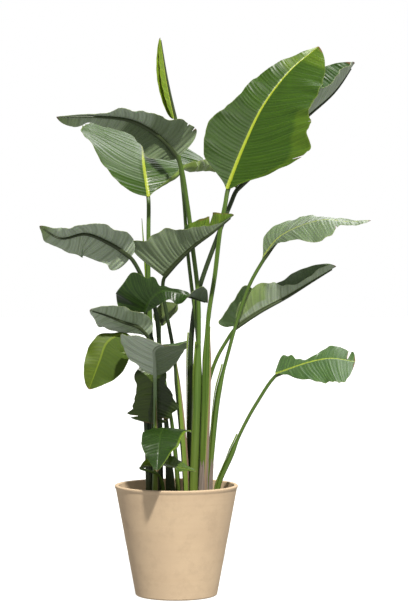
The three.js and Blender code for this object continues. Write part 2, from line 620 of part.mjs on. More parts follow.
const stems = LEAVES.map((leaf, i) => {
  const number = String(i + 1).padStart(2, '0');
  const rib = ribOf(leaf);
  const rows = rib.length > LONG_BLADE ? LONG_BLADE_ROWS : SHORT_BLADE_ROWS;
  const stations = stalkStations(leaf, rib, rows);
  let stalk = rod(stations, STALK_SIDES);
  if (i === SPEAR_PARENT) stalk = geometryOf(solid(stalk).add(solid(rod(spearStations(), STALK_SIDES))));
  add(`leaf_${number}_stalk`, stalk, stalkGreen);
  add(`leaf_${number}_blade`, sheet(bladeGrid(leaf, rib, rows, HALF_COLUMNS), THICKNESS), leafGreen);
  return stations;
});
DRY_SHEATHS.forEach((dry, i) => add(`dry_sheath_0${i + 1}`, drySheath(stems[dry.stem], dry), dryBrown));
add('soil', soilGeometry(stems, DRY_SHEATHS.map((dry) => drySheath(stems[dry.stem], dry, DRY_ROOM))), earth);
add('pot', potGeometry(), clay);

export default group;
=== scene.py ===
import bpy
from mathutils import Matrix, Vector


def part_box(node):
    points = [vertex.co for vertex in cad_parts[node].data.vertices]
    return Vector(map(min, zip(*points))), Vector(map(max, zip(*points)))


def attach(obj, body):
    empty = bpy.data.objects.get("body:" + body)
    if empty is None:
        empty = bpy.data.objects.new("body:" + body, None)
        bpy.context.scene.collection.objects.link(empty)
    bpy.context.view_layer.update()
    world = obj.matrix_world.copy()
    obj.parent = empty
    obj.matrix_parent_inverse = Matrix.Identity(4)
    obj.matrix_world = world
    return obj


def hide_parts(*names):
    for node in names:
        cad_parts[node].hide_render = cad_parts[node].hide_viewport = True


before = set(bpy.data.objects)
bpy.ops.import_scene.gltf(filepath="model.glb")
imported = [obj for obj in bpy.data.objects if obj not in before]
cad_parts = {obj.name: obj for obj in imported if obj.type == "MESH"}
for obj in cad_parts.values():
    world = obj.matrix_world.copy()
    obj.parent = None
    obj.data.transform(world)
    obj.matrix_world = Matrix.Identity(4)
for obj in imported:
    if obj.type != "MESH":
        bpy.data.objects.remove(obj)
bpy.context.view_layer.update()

import math

import bpy
import numpy as np
from bpy.props import FloatProperty, FloatVectorProperty, PointerProperty
from mathutils import Vector, noise

bl_info = {
    "name": "Potted bird of paradise",
    "version": (1, 0, 0),
    "blender": (4, 5, 0),
    "location": "3D View > Sidebar > Plant",
    "description": "Dresses a bird of paradise plant and its clay pot",
    "category": "Add Mesh",
}

MM = 0.001

# ---------- pot and soil, in metres ----------
POT_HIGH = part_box("pot")[1]
POT_HEIGHT = POT_HIGH.z
RIM_RADIUS = POT_HIGH.x
BASE_RADIUS = 110 * MM
WALL = 9 * MM
FLOOR = 13 * MM
LIP_HEIGHT = 8 * MM
LIP_PROUD = 1.2 * MM
LIP_ROUNDING = 3 * MM
LIP_SLOPE = 2 * MM
BASE_ROUNDING = 6 * MM
DRAIN_RADIUS = 6 * MM
DRAIN_CIRCLE = 62 * MM
DRAIN_COUNT = 3
SOIL_TOP = POT_HEIGHT - 40 * MM
STEM_FOOT = SOIL_TOP - 45 * MM
GAP = 0.3 * MM

# ---------- leaves: shares of the rib or of the half width, unless a unit is given ----------
FIRST_ROW = 0.001  # where a blade's rows begin
LAST_ROW = 0.9995
ROW_POWER = 1.35  # how much closer the rows stand at the foot
FOOT_POWER = 0.42  # of the outline; the smaller, the squarer the foot
TIP_POWER = 0.7
SWEEP = 0.42  # how far a blade's rows lean towards the tip
SWEEP_AT_FOOT = 0.25
SWEEP_FULL = 0.3  # where that is reached
SWEEP_POWER = 1.6
SWEEP_FADE = 3  # power of its fading towards the tip
LOBE_REACH = 0.05  # along the rib, of the lobes at the foot
CURL_POWER = 1.5
WAVE_POWER = 2.2
SHORT_WAVE = 0.57  # length of the margin's second wave, against the first
SHORT_WAVE_HEIGHT = 0.5
FRAME_THICKNESS = 1.2 * MM  # of the frame's blades, which the midribs hang under

# ---------- stalks ----------
SHEATH_WIDE = 2  # size of a sheath at the foot, against the neck
SHEATH_DEEP = 1.6
SHOULDER = 0.1  # share of the stalk over which a shoulder fades
SHEATH_TAPER = 0.2  # what a sheath loses up to its shoulder
SWELL_POWER = 2  # of an even swelling
MIDRIB_TIP = 1.1 * MM
MIDRIB_POWER = 0.9
MIDRIB_END = 0.97
MIDRIB_LEAD = 0.15  # share of the rib that steers the stalk's last bend
DROOP_CLEAR = 0.7  # how much lower a midrib hangs under a drooping fold
CURVE_SAMPLES = 800

# ---------- the plant ----------
# Each leaf, in millimetres and degrees: stalk points from the soil up, rib points from the blade's
# foot to its tip, and the way its upper face looks at the foot, middle and tip. Then for the left
# and the right half, as seen on the upper face with the tip up: width, its fullness at even steps
# from foot to tip, which outline shapes, and at the foot, middle and tip the fold up from the rib
# and the further curl to the margin. wave: height and length of the margin's wave. neck: radius of
# the stalk at the blade. lobe: how far the foot's lobes reach back, as a share of the width. foot:
# power of the outline there. sheath: share of the stalk where a sheath ends in a shoulder.
USUAL_LEAF = dict(curl=((0, 0, 0), (0, 0, 0)), wave=(4, 90), lobe=0.12, foot=FOOT_POWER, sheath=None)
LEAF_ROWS = (
    dict(  # tall, right, upper face forward
        stalk=[(71, -14, 288), (78, -10, 520), (85, 0, 735), (103, 5, 855), (118, 15, 980), (131, 20, 1045)],
        rib=[(135, 25, 1085), (180, 70, 1200), (235, 120, 1315), (310, 165, 1415), (390, 200, 1485)],
        face=[(-0.35, -0.75, 0.45), (-0.35, -0.7, 0.6), (-0.25, -0.75, 0.55)],
        width=((20, 124, 128, 95, 80, 76, 65, 50, 36), (60, 268, 200, 168, 158, 162, 162, 180, 195)),
        fold=((16, 14, 12), (10, 8, 5)), curl=((0, 0, 10), (0, 0, -10)), neck=6, sheath=0.57,
    ),
    dict(  # channelled, behind the first
        stalk=[(37, 32, 284), (37, 34, 520), (40, 38, 690), (56, 43, 800), (115, 60, 970), (145, 70, 1045)],
        rib=[(160, 80, 1090), (250, 165, 1175), (342, 225, 1280), (438, 265, 1367), (496, 290, 1449)],
        face=[(-0.5, -0.5, 0.7), (-0.5, -0.4, 0.75), (-0.5, -0.3, 0.8)],
        width=((95, 95, 95, 125, 180), (95, 110, 190)),
        fold=((35, 35, 35), (30, 30, 30)), curl=((20, 25, 30), (10, 15, 15)), neck=6,
    ),
    dict(  # upper left, leaning back, glossy face forward
        stalk=[(-67, 24, 288), (-68, 24, 520), (-70, 24, 710), (-75, 24, 855), (-75, 30, 970)],
        rib=[(-75, 40, 1065), (-90, 100, 1155), (-95, 180, 1205), (-105, 270, 1238), (-115, 350, 1252)],
        face=[(0.1, -0.8, 0.6), (0.2, -0.55, 0.8), (0.2, -0.3, 0.9)],
        width=((150, 150, 188, 176, 172, 178, 184, 186, 186), (20, 138, 180, 218, 238, 246, 252, 252, 232)),
        fold=((22, 10, 6), (4, -10, 12)), curl=((0, -5, -10), (0, -20, -30)), neck=5.5,
    ),
    dict(  # top left, arches over to the left, underside forward
        stalk=[
            (47, -22, 289), (55, -25, 525), (60, -18, 710), (57, -15, 815), (44, -18, 925), (30, -32, 1040),
        ],
        rib=[(3, -60, 1165), (-40, -90, 1215), (-110, -130, 1257), (-200, -160, 1267), (-307, -175, 1264)],
        face=[(-0.6, 0.55, 0.6), (-0.2, 0.55, 0.8), (0, 0.45, 0.85)],
        width=((175, 98, 56, 60, 54, 26, 12, 10, 10), (45, 76, 48, 37, 37, 33, 31, 70, 105)),
        fold=((-5, -12, 0), (-8, -25, -15)), curl=((0, -10, 20), (-5, -10, -10)), neck=6, sheath=0.49,
    ),
    dict(  # middle, underside forward
        stalk=[(26, -6, 288), (10, -10, 495), (-8, -15, 655), (-25, -25, 750), (-35, -30, 810)],
        rib=[(-35, -40, 852), (0, -60, 890), (45, -90, 932), (96, -125, 968), (151, -162, 1011)],
        face=[(-0.6, 0.35, 0.6), (-0.6, 0.35, 0.6), (-0.5, 0.4, 0.7)],
        width=((52, 74, 78, 88, 84), (170, 100, 86, 62, 51, 40, 24, 8, 10)),
        fold=((60, 60, 60), (55, 58, 60)), foot=0.2, neck=5, sheath=0.64,
    ),
    dict(  # left, arches over, underside forward
        stalk=[(-43, -12, 288), (-45, -13, 525), (-45, -24, 670), (-58, -40, 775), (-90, -50, 850)],
        rib=[(-120, -60, 902), (-170, -85, 938), (-235, -110, 965), (-300, -125, 953), (-354, -135, 983)],
        face=[(-0.6, 0.5, 0.6), (-0.1, 0.5, 0.85), (0.1, 0.5, 0.85)],
        width=((64, 64, 42), (120, 66, 68, 70, 75, 65, 50, 66, 78)),
        fold=((-5, -10, 10), (-10, -25, -10)), curl=((0, 0, 20), (0, -10, 20)), neck=5.5,
    ),
    dict(  # right, level, drooping front half
        stalk=[
            (87, -4, 287), (97, -5, 415), (113, -10, 545), (140, -15, 655), (165, -20, 745), (195, -30, 830),
        ],
        rib=[
            (228, -40, 900), (270, -50, 953), (327, -65, 985), (392, -80, 1001), (457, -88, 995),
            (512, -90, 999),
        ],
        face=[(-0.5, -0.3, 0.85), (-0.15, -0.15, 0.97), (0, -0.2, 0.97)],
        width=((10, 76, 92, 94, 66, 40, 36, 20, 20), (8, 14, 60, 92, 104, 100, 40, 60, 110)),
        fold=((20, 0, 5), (5, -12, 0)), curl=((0, 0, 10), (-20, -35, 0)), wave=(3, 110), neck=5, sheath=0.57,
    ),
    dict(  # right, half rolled like a boat
        stalk=[(85, 24, 284), (75, 30, 440), (80, 30, 535), (105, 20, 625), (135, 15, 680)],
        rib=[(155, 5, 717), (220, 5, 759), (295, 10, 799), (365, 20, 841), (428, 30, 878)],
        face=[(-0.6, 0.25, 0.8), (-0.5, 0.15, 0.85), (-0.5, 0, 0.85)],
        width=((250, 175, 76, 52, 48, 56, 62, 70, 90), (10, 60, 71, 56, 31, 17, 23, 45, 80)),
        fold=((30, 62, 50), (55, 50, 40)), curl=((10, 20, 25), (20, 20, 25)), wave=(3, 90), lobe=0.7, neck=5,
    ),
    dict(  # low on the right, on a long leaning stalk
        stalk=[(110, -20, 289), (143, -25, 370), (174, -35, 443), (214, -45, 517)],
        rib=[(262, -60, 594), (300, -75, 609), (352, -90, 627), (408, -100, 637), (470, -105, 628)],
        face=[(-0.4, -0.4, 0.85), (0, -0.5, 0.85), (0.2, -0.5, 0.85)],
        width=((150, 70, 30, 18, 22, 64, 78, 90, 150), (8, 25, 71, 94, 102, 126, 158, 205, 300)),
        fold=((5, 5, 5), (0, 0, 0)), curl=((0, 0, 0), (-10, -10, 0)), neck=4.7, sheath=0.53,
    ),
    dict(  # middle left, dark upper face forward, twisted tip
        stalk=[(-19, -4, 287), (-25, 0, 440), (-45, 0, 575), (-64, -6, 680), (-75, -25, 725)],
        rib=[(-84, -60, 755), (-66, -78, 792), (-34, -95, 814), (22, -108, 804), (84, -115, 783)],
        face=[(-0.3, -0.9, 0.3), (-0.2, -0.9, 0.3), (0.3, 0.6, 0.7)],
        width=((190, 110, 50, 14, 8, 12, 20, 14, 12), (8, 27, 33, 33, 25, 38, 76, 120, 170)),
        fold=((10, 8, 5), (5, 5, 5)), wave=(3, 90), lobe=0.8, neck=4.7,
    ),
    dict(  # left, pale underside
        stalk=[(-66, 2, 285), (-72, -6, 465), (-76, -23, 600), (-78, -42, 655)],
        rib=[(-75, -50, 695), (-100, -65, 720), (-140, -80, 734), (-185, -100, 752), (-225, -110, 764)],
        face=[(-0.3, 0.6, 0.75), (0, 0.6, 0.8), (0, 0.6, 0.8)],
        width=((48, 48, 48), (13, 36, 65, 69, 67, 70, 72, 75, 75)),
        fold=((10, 8, 8), (10, 8, 8)), wave=(3, 80), neck=4.5,
    ),
    dict(  # left, bends over and hangs
        stalk=[(-74, -17, 288), (-82, -14, 470), (-92, -16, 590), (-99, -26, 645)],
        rib=[(-105, -38, 675), (-140, -48, 698), (-180, -66, 680), (-201, -83, 629), (-228, -92, 555)],
        face=[(-0.2, -0.75, 0.6), (0.05, -0.9, 0.3), (0, -0.95, 0.1)],
        width=((20, 71, 75, 73, 73, 74, 74, 70, 65), (10, 8, 10, 32, 41, 44, 46, 50, 60)),
        fold=((-5, 0, 5), (-5, 0, 5)), neck=4.5,
    ),
    dict(  # front left, arches towards the front
        stalk=[(-56, -36, 291), (-55, -48, 390), (-55, -64, 500)],
        rib=[(-55, -80, 590), (-55, -115, 630), (-55, -160, 660), (-40, -210, 675), (-25, -245, 675)],
        face=[(0, 0.5, 0.8), (0, 0.3, 0.9), (0, 0.2, 0.95)],
        width=((86, 90, 88), (96, 96, 80)),
        fold=((20, 14, 8), (24, 20, 14)), neck=4.8,
    ),
    dict(  # hangs in front of the left stems, behind the stalk of the one before
        stalk=[(-22, -20, 288), (-26, -26, 440), (-30, -31, 530)],
        rib=[(-31, -38, 570), (-37, -46, 601), (-49, -63, 600), (-56, -57, 537), (-66, -48, 462)],
        face=[(0, 0.2, 0.9), (0, -0.8, 0.3), (0, -1, 0.1)],
        width=((12, 12, 25, 25, 50, 78, 74, 98, 150), (12, 20, 60, 50, 52, 60, 76, 134, 215)),
        fold=((8, 5, 5), (8, 5, 5)), wave=(2, 90), neck=4,
    ),
    dict(  # low, hangs to the front
        stalk=[(-8, -36, 291), (-15, -45, 360), (-20, -52, 415)],
        rib=[(-30, -65, 450), (-34, -112, 455), (-40, -175, 432), (-46, -240, 354)],
        face=[(-0.2, -0.5, 0.8), (-0.3, -0.6, 0.7), (-0.3, -0.8, 0.5)],
        width=((98, 58, 38), (50, 50, 40)),
        fold=((-24, -6, 5), (5, 8, 5)), wave=(3, 70), neck=4,
    ),
    dict(  # lowest
        stalk=[(-35, -34, 291), (-45, -58, 325)],
        rib=[(-91, -150, 358), (-45, -140, 366), (10, -120, 352), (55, -100, 340)],
        face=[(0, -0.6, 0.8), (0, -0.6, 0.8), (0, -0.6, 0.8)],
        width=((40, 45, 30, 25, 20), (12, 14, 14, 12, 10)),
        fold=((10, 8, 5), (10, 8, 5)), wave=(3, 70), foot=0.8, neck=3.5,
    ),
    dict(  # small, behind the dark middle leaf
        stalk=[(4, 22, 285), (-10, 22, 440), (-32, 18, 575), (-44, 12, 670)],
        rib=[(-45, 10, 722), (-32, 15, 744), (-11, 15, 763), (3, 15, 778)],
        face=[(0, 0.8, 0.5), (0, 0.8, 0.5), (0, 0.8, 0.5)],
        width=((20, 18, 18), (34, 34, 30)),
        fold=((10, 8, 8), (10, 8, 8)), wave=(3, 70), neck=4,
    ),
    dict(  # tallest, young, still folded
        stalk=[
            (62, 8, 286), (65, 5, 520), (55, 4, 710), (40, 2, 830), (30, -4, 920), (20, -12, 1055),
            (6, -18, 1190),
        ],
        rib=[(-6, -20, 1270), (-19, -20, 1330), (-29, -20, 1385), (-37, -15, 1440), (-43, -15, 1485)],
        face=[(-0.8, -0.5, 0.2), (-0.8, -0.5, 0.2), (-0.8, -0.5, 0.2)],
        width=((22, 24, 22), (20, 22, 20)),
        fold=((58, 62, 62), (58, 62, 62)), curl=((20, 20, 20), (20, 20, 20)), wave=(0, 90), lobe=0.05,
        neck=4.5,
    ),
)
LEAVES = [USUAL_LEAF | row for row in LEAF_ROWS]

# How each leaf is finished: its age, the height of its pleats against the usual, tears as (half,
# share of the rib, depth as a share of the half, gap in millimetres), patches as (tint, half, start
# and end share of the rib, start and end share of the half, strength), and a rolled margin as (half,
# start and end share of the rib, share of the half where the roll starts, degrees).
FINISH = {
    1: dict(
        age="full", pleats=1.1, tears=[("right", 0.12, 0.12, 3), ("right", 0.3, 0.05, 2)],
        patches=[
            ("yellow", "right", 0, 0.4, 0.8, 1, 0.25), ("yellow", "left", 0.94, 1, 0.3, 1, 0.85),
            ("yellow", "left", 0.8, 1, 0, 1, 0.45), ("yellow", "right", 0.9, 1, 0, 1, 0.4),
            ("deep", "left", 0, 0.45, 0, 1, 0.7),
        ],
    ),
    2: dict(age="pale", pleats=1.5, patches=[("deep", "left", 0, 1, 0.1, 1, 0.4)]),
    # Leaf 3: the faint pale patch on the left half is painted light.
    3: dict(
        age="grown", pleats=1.5, roll=("right", -0.1, 0.5, 0.78, 168),
        patches=[
            ("yellow", "right", -0.1, 0.54, 0.75, 1, 0.85), ("bloom_and_light", "left", 0.15, 0.9, 0.1, 0.93, 0.1),
        ],
    ),
    # Leaf 4: the pale patches are painted light, strongest on the left half, which is lit; the deep green
    # patch on the right half is painted shade.
    4: dict(
        age="grown", pleats=1.6, tears=[("left", 0.06, 0.08, 4), ("left", 0.1, 0.06, 3)],
        patches=[
            ("yellow", "right", 0.86, 1, 0.3, 1, 0.4), ("yellow", "left", 0.92, 1, 0, 1, 0.4),
            ("bloom_and_light", "left", 0.35, 0.9, 0, 1, 0.5), ("bloom_and_light", "right", 0.55, 0.9, 0, 1, 0.2),
            ("deep", "right", 0, 0.45, 0, 1, 0.6), ("deep", "left", 0, 0.28, 0, 1, 0.25),
        ],
    ),
    5: dict(
        age="grown", pleats=1.4, tears=[("left", 0.66, 0.4, 16), ("left", 0.84, 0.15, 4)],
        patches=[
            ("yellow", "left", 0.4, 1, 0.3, 1, 0.45), ("brown", "left", 0.5, 1, 0.95, 1, 0.7),
            ("deep", "right", 0, 0.6, 0, 1, 0.2),
        ],
    ),
    # Leaf 6: the pale patches are painted light on its lit underside, stronger on the left half.
    6: dict(
        age="pale", pleats=1.3,
        patches=[
            ("yellow", "left", 0.88, 1, 0, 1, 0.7), ("yellow", "right", 0.88, 1, 0, 1, 0.7),
            ("bloom_and_light", "left", 0, 0.9, 0, 1, 0.45), ("bloom_and_light", "right", 0, 0.9, 0, 1, 0.25),
        ],
    ),
    7: dict(age="hazy", pleats=1.3, tears=[("right", 0.7, 0.15, 3)]),
    8: dict(
        age="hazy", pleats=0.6,
        patches=[("yellow", "right", 0, 0.3, 0.35, 1, 0.65), ("deep", "left", 0, 0.3, 0, 1, 1)],
    ),
    9: dict(age="silvery", pleats=1.1, tears=[("left", 0.9, 0.8, 7)]),
    10: dict(age="dark", pleats=0.7),
    # Leaf 11: the pale patches are painted light over its underside.
    11: dict(
        age="pale", pleats=1.0,
        patches=[("bloom_and_light", "left", 0, 1, 0, 1, 0.3), ("bloom_and_light", "right", 0, 1, 0, 1, 0.3)],
    ),
    # Leaf 12: the deep green patch on the left half is a painted shadow cast by leaf 13.
    12: dict(age="matt", pleats=0.3, patches=[("deep", "left", 0.2, 1, 0, 1, 0.5)]),
    # Leaf 13: the pale patch on the right half is painted light where that half catches the light at a
    # slant; the deep green patch on the left half is painted shade.
    13: dict(
        age="pale", pleats=1.3,
        patches=[("bloom_and_light", "right", 0, 1, 0.05, 1, 0.85), ("deep", "left", 0, 1, 0.05, 1, 0.6)],
    ),
    14: dict(
        age="shaded", pleats=1.0, tears=[("right", 0.9, 0.3, 6), ("left", 0.9, 0.4, 6)],
        patches=[("yellow", "right", 0.3, 1, 0.2, 1, 0.25)],
    ),
    15: dict(age="dark", pleats=0.7, patches=[("yellow", "left", 0, 0.95, 0.94, 1, 0.85)]),
    16: dict(age="fresh", pleats=0.7, patches=[("yellow", "left", 0, 0.3, 0.2, 1, 0.85)]),
    17: dict(age="fresh", pleats=0.8),
    18: dict(age="young", pleats=0.3),
}

# A thin rolled leaf out of the third leaf's stalk, in millimetres.
SPEAR = [(-68, 24, 560), (-74, 26, 700), (-82, 32, 855), (-89, 36, 950), (-93, 38, 1007)]
SPEAR_TIP = 0.7 * MM
SPEAR_RADIUS = 4.5 * MM

# Dry leaf bases round the stems: the leaf, the top in millimetres, and the degrees they cover.
DRY_SHEATHS = [
    dict(leaf=1, top=352, start=135, end=225),
    dict(leaf=1, top=440, start=62, end=108),
    dict(leaf=7, top=356, start=45, end=130),
]
DRY_CLEAR = 1.6 * MM
DRY_FOOT = STEM_FOOT + 12 * MM
DRY_TAPER = 0.35  # what a base loses of its width up to the top
DRY_TEAR = 9 * MM  # height of the coarse tears along the top
DRY_TEAR_TURNS = 10.5  # radians across the top

# Green sheath edges that stand off the stalks and run out to a point higher up: the leaf, the top in
# millimetres, the degrees they cover, and as shares of that how far their rim has dried in at the foot
# or is still fresh.
SHEATH_EDGES = [
    dict(leaf=1, top=718, start=75, end=145, dry=1.1),
    dict(leaf=2, top=700, start=185, end=265, fresh=0.08),
    dict(leaf=4, top=678, start=70, end=170, fresh=0.2),
    dict(leaf=5, top=628, start=-25, end=85, dry=0.35),
    dict(leaf=7, top=616, start=140, end=265, fresh=0.2),
    dict(leaf=9, top=430, start=150, end=265, fresh=0.2),
    dict(leaf=13, top=530, start=-60, end=30),
    dict(leaf=3, top=470, start=200, end=290),
]


# ---------- formulas ----------
def linear(code):
    """The linear colour of an sRGB hex code, which is what Blender's colours are."""
    shares = [int(code[i : i + 2], 16) / 255 for i in (1, 3, 5)]
    return tuple(c / 12.92 if c <= 0.04045 else ((c + 0.055) / 1.055) ** 2.4 for c in shares)


def smooth(t):
    """Eases a share from 0 to 1."""
    t = np.clip(t, 0, 1)
    return t * t * (3 - 2 * t)


def between(stations, share):
    """Value at a share of a list of equally spaced stations, eased between them."""
    stations = np.asarray(stations, float)
    spans = len(stations) - 1
    place = np.clip(share, 0, 1) * spans
    i = np.minimum(place.astype(int), spans - 1)
    t = smooth(place - i)
    if stations.ndim > 1:
        t = t[..., None]
    return stations[i] * (1 - t) + stations[i + 1] * t


def unit(vectors):
    """Vectors at length 1."""
    return vectors / np.linalg.norm(vectors, axis=-1, keepdims=True)


def square_to(up, along):
    """up, made square to along."""
    return unit(up - (up * along).sum(-1, keepdims=True) * along)


class Line:
    """A smooth line through points, read by the distance along it."""

    def __init__(self, points):
        points = np.asarray(points, float)
        padded = np.vstack([2 * points[0] - points[1], points, 2 * points[-1] - points[-2]])
        spans = len(points) - 1
        t = np.linspace(0, spans, CURVE_SAMPLES + 1)
        i = np.minimum(t.astype(int), spans - 1)
        w = (t - i)[:, None]
        a, b, c, d = (padded[i + k] for k in range(4))
        ab, bc, cd = (np.sqrt(np.linalg.norm(q - p, axis=1))[:, None] for p, q in ((a, b), (b, c), (c, d)))
        out = ((b - a) / ab - (c - a) / (ab + bc) + (c - b) / bc) * bc
        back = ((c - b) / bc - (d - b) / (bc + cd) + (d - c) / cd) * bc
        bend = -3 * b + 3 * c - 2 * out - back
        self.places = b + out * w + bend * w**2 + (2 * b - 2 * c + out + back) * w**3
        steps = np.linalg.norm(np.diff(self.places, axis=0), axis=1)
        self.arc = np.concatenate([[0], np.cumsum(steps)])
        self.ways = unit(np.gradient(self.places, axis=0))
        self.length = self.arc[-1]

    def at(self, distance):
        """Place and direction at distances along the line, which runs on straight past its ends."""
        inside = np.clip(distance, 0, self.length)
        along = unit(np.stack([np.interp(inside, self.arc, self.ways[:, k]) for k in range(3)], -1))
        place = np.stack([np.interp(inside, self.arc, self.places[:, k]) for k in range(3)], -1)
        return place + along * (distance - inside)[..., None], along


def rib_frame(leaf, line, distance):
    """Place, direction, upward normal and rightward side of a rib at distances from the blade's foot."""
    place, along = line.at(distance)
    up = square_to(between(leaf["face"], np.clip(distance / line.length, 0, 1)), along)
    return place, along, up, np.cross(along, up)


def outline(u, foot):
    """Half width of a blade as a share of its widest; the smaller foot, the squarer its foot."""
    widest = foot / (foot + TIP_POWER)
    return (u / widest) ** foot * ((1 - u) / (1 - widest)) ** TIP_POWER


def rib_shares(count):
    """Shares of the rib where a blade's rows stand."""
    return FIRST_ROW + (LAST_ROW - FIRST_ROW) * (np.arange(count + 1) / count) ** ROW_POWER


def midrib_radius(leaf, u):
    """Radius of the raised midrib."""
    neck = leaf["neck"] * MM
    return MIDRIB_TIP + (neck - MIDRIB_TIP) * (1 - u) ** MIDRIB_POWER


def midrib_place(leaf, line, distance, radius):
    """Centre of the midrib under the blade, its axes, and its clearance from the blade's middle."""
    place, along, up, side = rib_frame(leaf, line, distance)
    share = distance / line.length
    folds = [between(fold, share) for fold in leaf["fold"]]
    droop = np.minimum(0, np.minimum(*folds))
    clear = FRAME_THICKNESS / 2 + GAP + radius * (1 + DROOP_CLEAR * np.tan(np.radians(droop)) ** 2)
    return place - up * clear[..., None], along, up, side, clear


def rib_line(leaf):
    """The line of a blade's rib."""
    return Line(np.array(leaf["rib"]) * MM)


# ---------- making a piece ----------
WELD = 0.01 * MM
SMOOTH_ANGLE = 40  # degrees; a sharper edge stays an edge


def deselect_all():
    """Nothing selected, so that an operator only acts on what comes next."""
    for piece in bpy.context.selected_objects:
        piece.select_set(False)


def only(piece):
    """Makes one piece the selected and active one."""
    deselect_all()
    piece.select_set(True)
    bpy.context.view_layer.objects.active = piece


def edit_all(piece):
    """Opens a piece in edit mode with all of it selected."""
    only(piece)
    bpy.ops.object.mode_set(mode="EDIT")
    bpy.ops.mesh.select_all(action="SELECT")


def close_edit():
    """Goes back to object mode."""
    bpy.ops.object.mode_set(mode="OBJECT")


def moved_grid(name, points, uv, attributes):
    """A grid primitive moved to points, rows by columns, with a UV map and point attributes."""
    rows, columns = points.shape[:2]
    deselect_all()
    bpy.ops.mesh.primitive_grid_add(x_subdivisions=columns - 1, y_subdivisions=rows - 1, size=1)
    piece = bpy.context.object
    piece.name = piece.data.name = name
    mesh = piece.data
    mesh.vertices.foreach_set("co", points.astype(np.float32).ravel())
    corner = np.zeros(len(mesh.loops), np.int32)
    mesh.loops.foreach_get("vertex_index", corner)
    layer = mesh.uv_layers[0]
    layer.name = "surface"
    layer.uv.foreach_set("vector", uv.reshape(-1, 2)[corner].astype(np.float32).ravel())
    for key, values in attributes.items():
        values = np.broadcast_to(values, (rows, columns)).astype(np.float32)
        mesh.attributes.new(key, "FLOAT", "POINT").data.foreach_set("value", values.ravel())
    mesh.update()
    return piece


def joined_uv(along, across):
    """A UV map of distances along and across a surface."""
    return np.stack(np.broadcast_arrays(along, across), -1)


def offset(place, side, across, up, above):
    """Points at distances across and above from places, along their axes."""
    return place + side * across[..., None] + up * above[..., None]


def wrap_closed(piece):
    """Joins a wrapped grid along its seam and fills its two ends."""
    edit_all(piece)
    bpy.ops.mesh.remove_doubles(threshold=WELD)
    bpy.ops.mesh.select_all(action="SELECT")
    bpy.ops.mesh.fill_holes(sides=0)
    close_edit()


def weld_outwards():
    """Joins the points of the opened piece that lie together, turns its faces outwards and closes it."""
    bpy.ops.mesh.select_all(action="SELECT")
    bpy.ops.mesh.remove_doubles(threshold=WELD)
    bpy.ops.mesh.select_all(action="SELECT")
    bpy.ops.mesh.normals_make_consistent(inside=False)
    close_edit()


def join(piece, others):
    """Joins other pieces into one."""
    deselect_all()
    for other in others:
        other.select_set(True)
    piece.select_set(True)
    bpy.context.view_layer.objects.active = piece
    bpy.ops.object.join()


def apply_modifier(piece, kind, **settings):
    """Adds a modifier with its settings and applies it."""
    only(piece)
    modifier = piece.modifiers.new(kind.title(), kind)
    for key, value in settings.items():
        setattr(modifier, key, value)
    bpy.ops.object.modifier_apply(modifier=modifier.name)


def shade(piece, degrees=SMOOTH_ANGLE):
    """Smooth shading that keeps edges sharper than an angle."""
    only(piece)
    bpy.ops.object.shade_smooth_by_angle(angle=math.radians(degrees))


def finish_sheet(piece, thickness, front, back):
    """Gives an open sheet its thickness and materials, the second for its back and rim."""
    piece.data.materials.append(front)
    piece.data.materials.append(back)
    apply_modifier(
        piece, "SOLIDIFY", thickness=thickness, offset=0, material_offset=1, material_offset_rim=1
    )
    shade(piece)


def fasten(piece, slot, *nodes):
    """Makes a finished piece part of the object, in place of CAD nodes."""
    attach(piece, "root")
    if nodes:
        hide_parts(*nodes)


# ---------- blades: shares of the rib or of the half width, unless a unit is given ----------
HALVES = ("left", "right")
FACES = ("upper", "under")
ROW_STEP = 1.7 * MM
FEWEST_ROWS = 24
HALF_COLUMNS = 18
COLUMN_POWER = 1.25  # how much closer the columns stand at the rib
CHANNEL_DEPTH = 0.7 * MM
FLUTTER = 1.0 * MM  # small waves right at the margin
FLUTTER_LENGTH = 29 * MM
FLUTTER_POWER = 6
FLUTTER_PHASE = 3
WANDER = ((0.9, 83 * MM), (0.5, 31 * MM))  # how far pleats stray, in radians, and over which length
BROAD_PLEAT = 2.7  # spacing of the broad pleats, against the fine ones'
BROAD_HEIGHT = 0.7
BROAD_PHASE = 1.7
FINE_HEIGHT = 0.7
FINE_BEAT = 0.3  # how much the broad pleats raise and lower the fine ones
PLEAT_RISE = 0.15
PLEAT_FALL = 0.7
PLEAT_LOSS = 0.5
PLEATED_WIDTH = 30 * MM  # a narrower half has lower pleats
ROLL_EASE = 0.1
PATCH_EASE = 0.05
TEAR_EASE = 9 * MM  # how far along the rib the edges of a tear are pushed apart
DRY_REACH = 3.5 * MM  # how far a tear has dried back
DRY_TIP = 0.965
DRY_TIP_EASE = 0.03
DRY_TIP_BASE = 0.4  # how dry the tip is at the rib, against 1 + this at the margin


def within(share, start, end):
    """Fades in to 1 from a start to an end share."""
    return smooth((share - start) / PATCH_EASE + 1) * smooth((end - share) / PATCH_EASE + 1)


def pleat_wave(vein, seed, spacing):
    """Height of the pleats at distances along the rib, in heights of a usual pleat."""
    turn = 2 * np.pi * vein
    wander = sum(size * np.sin(turn / length + (k + 1) * seed) for k, (size, length) in enumerate(WANDER))
    fine = np.sin(turn / spacing + wander)
    broad = np.sin(turn / (BROAD_PLEAT * spacing) + BROAD_PHASE * seed)
    return fine * (FINE_HEIGHT + FINE_BEAT * broad) + BROAD_HEIGHT * broad


def fold_angle(leaf, finish, half, share, u, v):
    """Angle of a half against flat, in radians, with its fold, its curl and a rolled margin."""
    angle = between(leaf["fold"][half], share) + between(leaf["curl"][half], share) * v**CURL_POWER
    if "roll" in finish and finish["roll"][0] == HALVES[half]:
        _, start, end, edge, turn = finish["roll"]
        reach = smooth((u - start) / ROLL_EASE) * smooth((end - u) / ROLL_EASE)
        angle = angle + turn * reach * smooth((v - edge) / (1 - edge))
    return np.radians(angle)


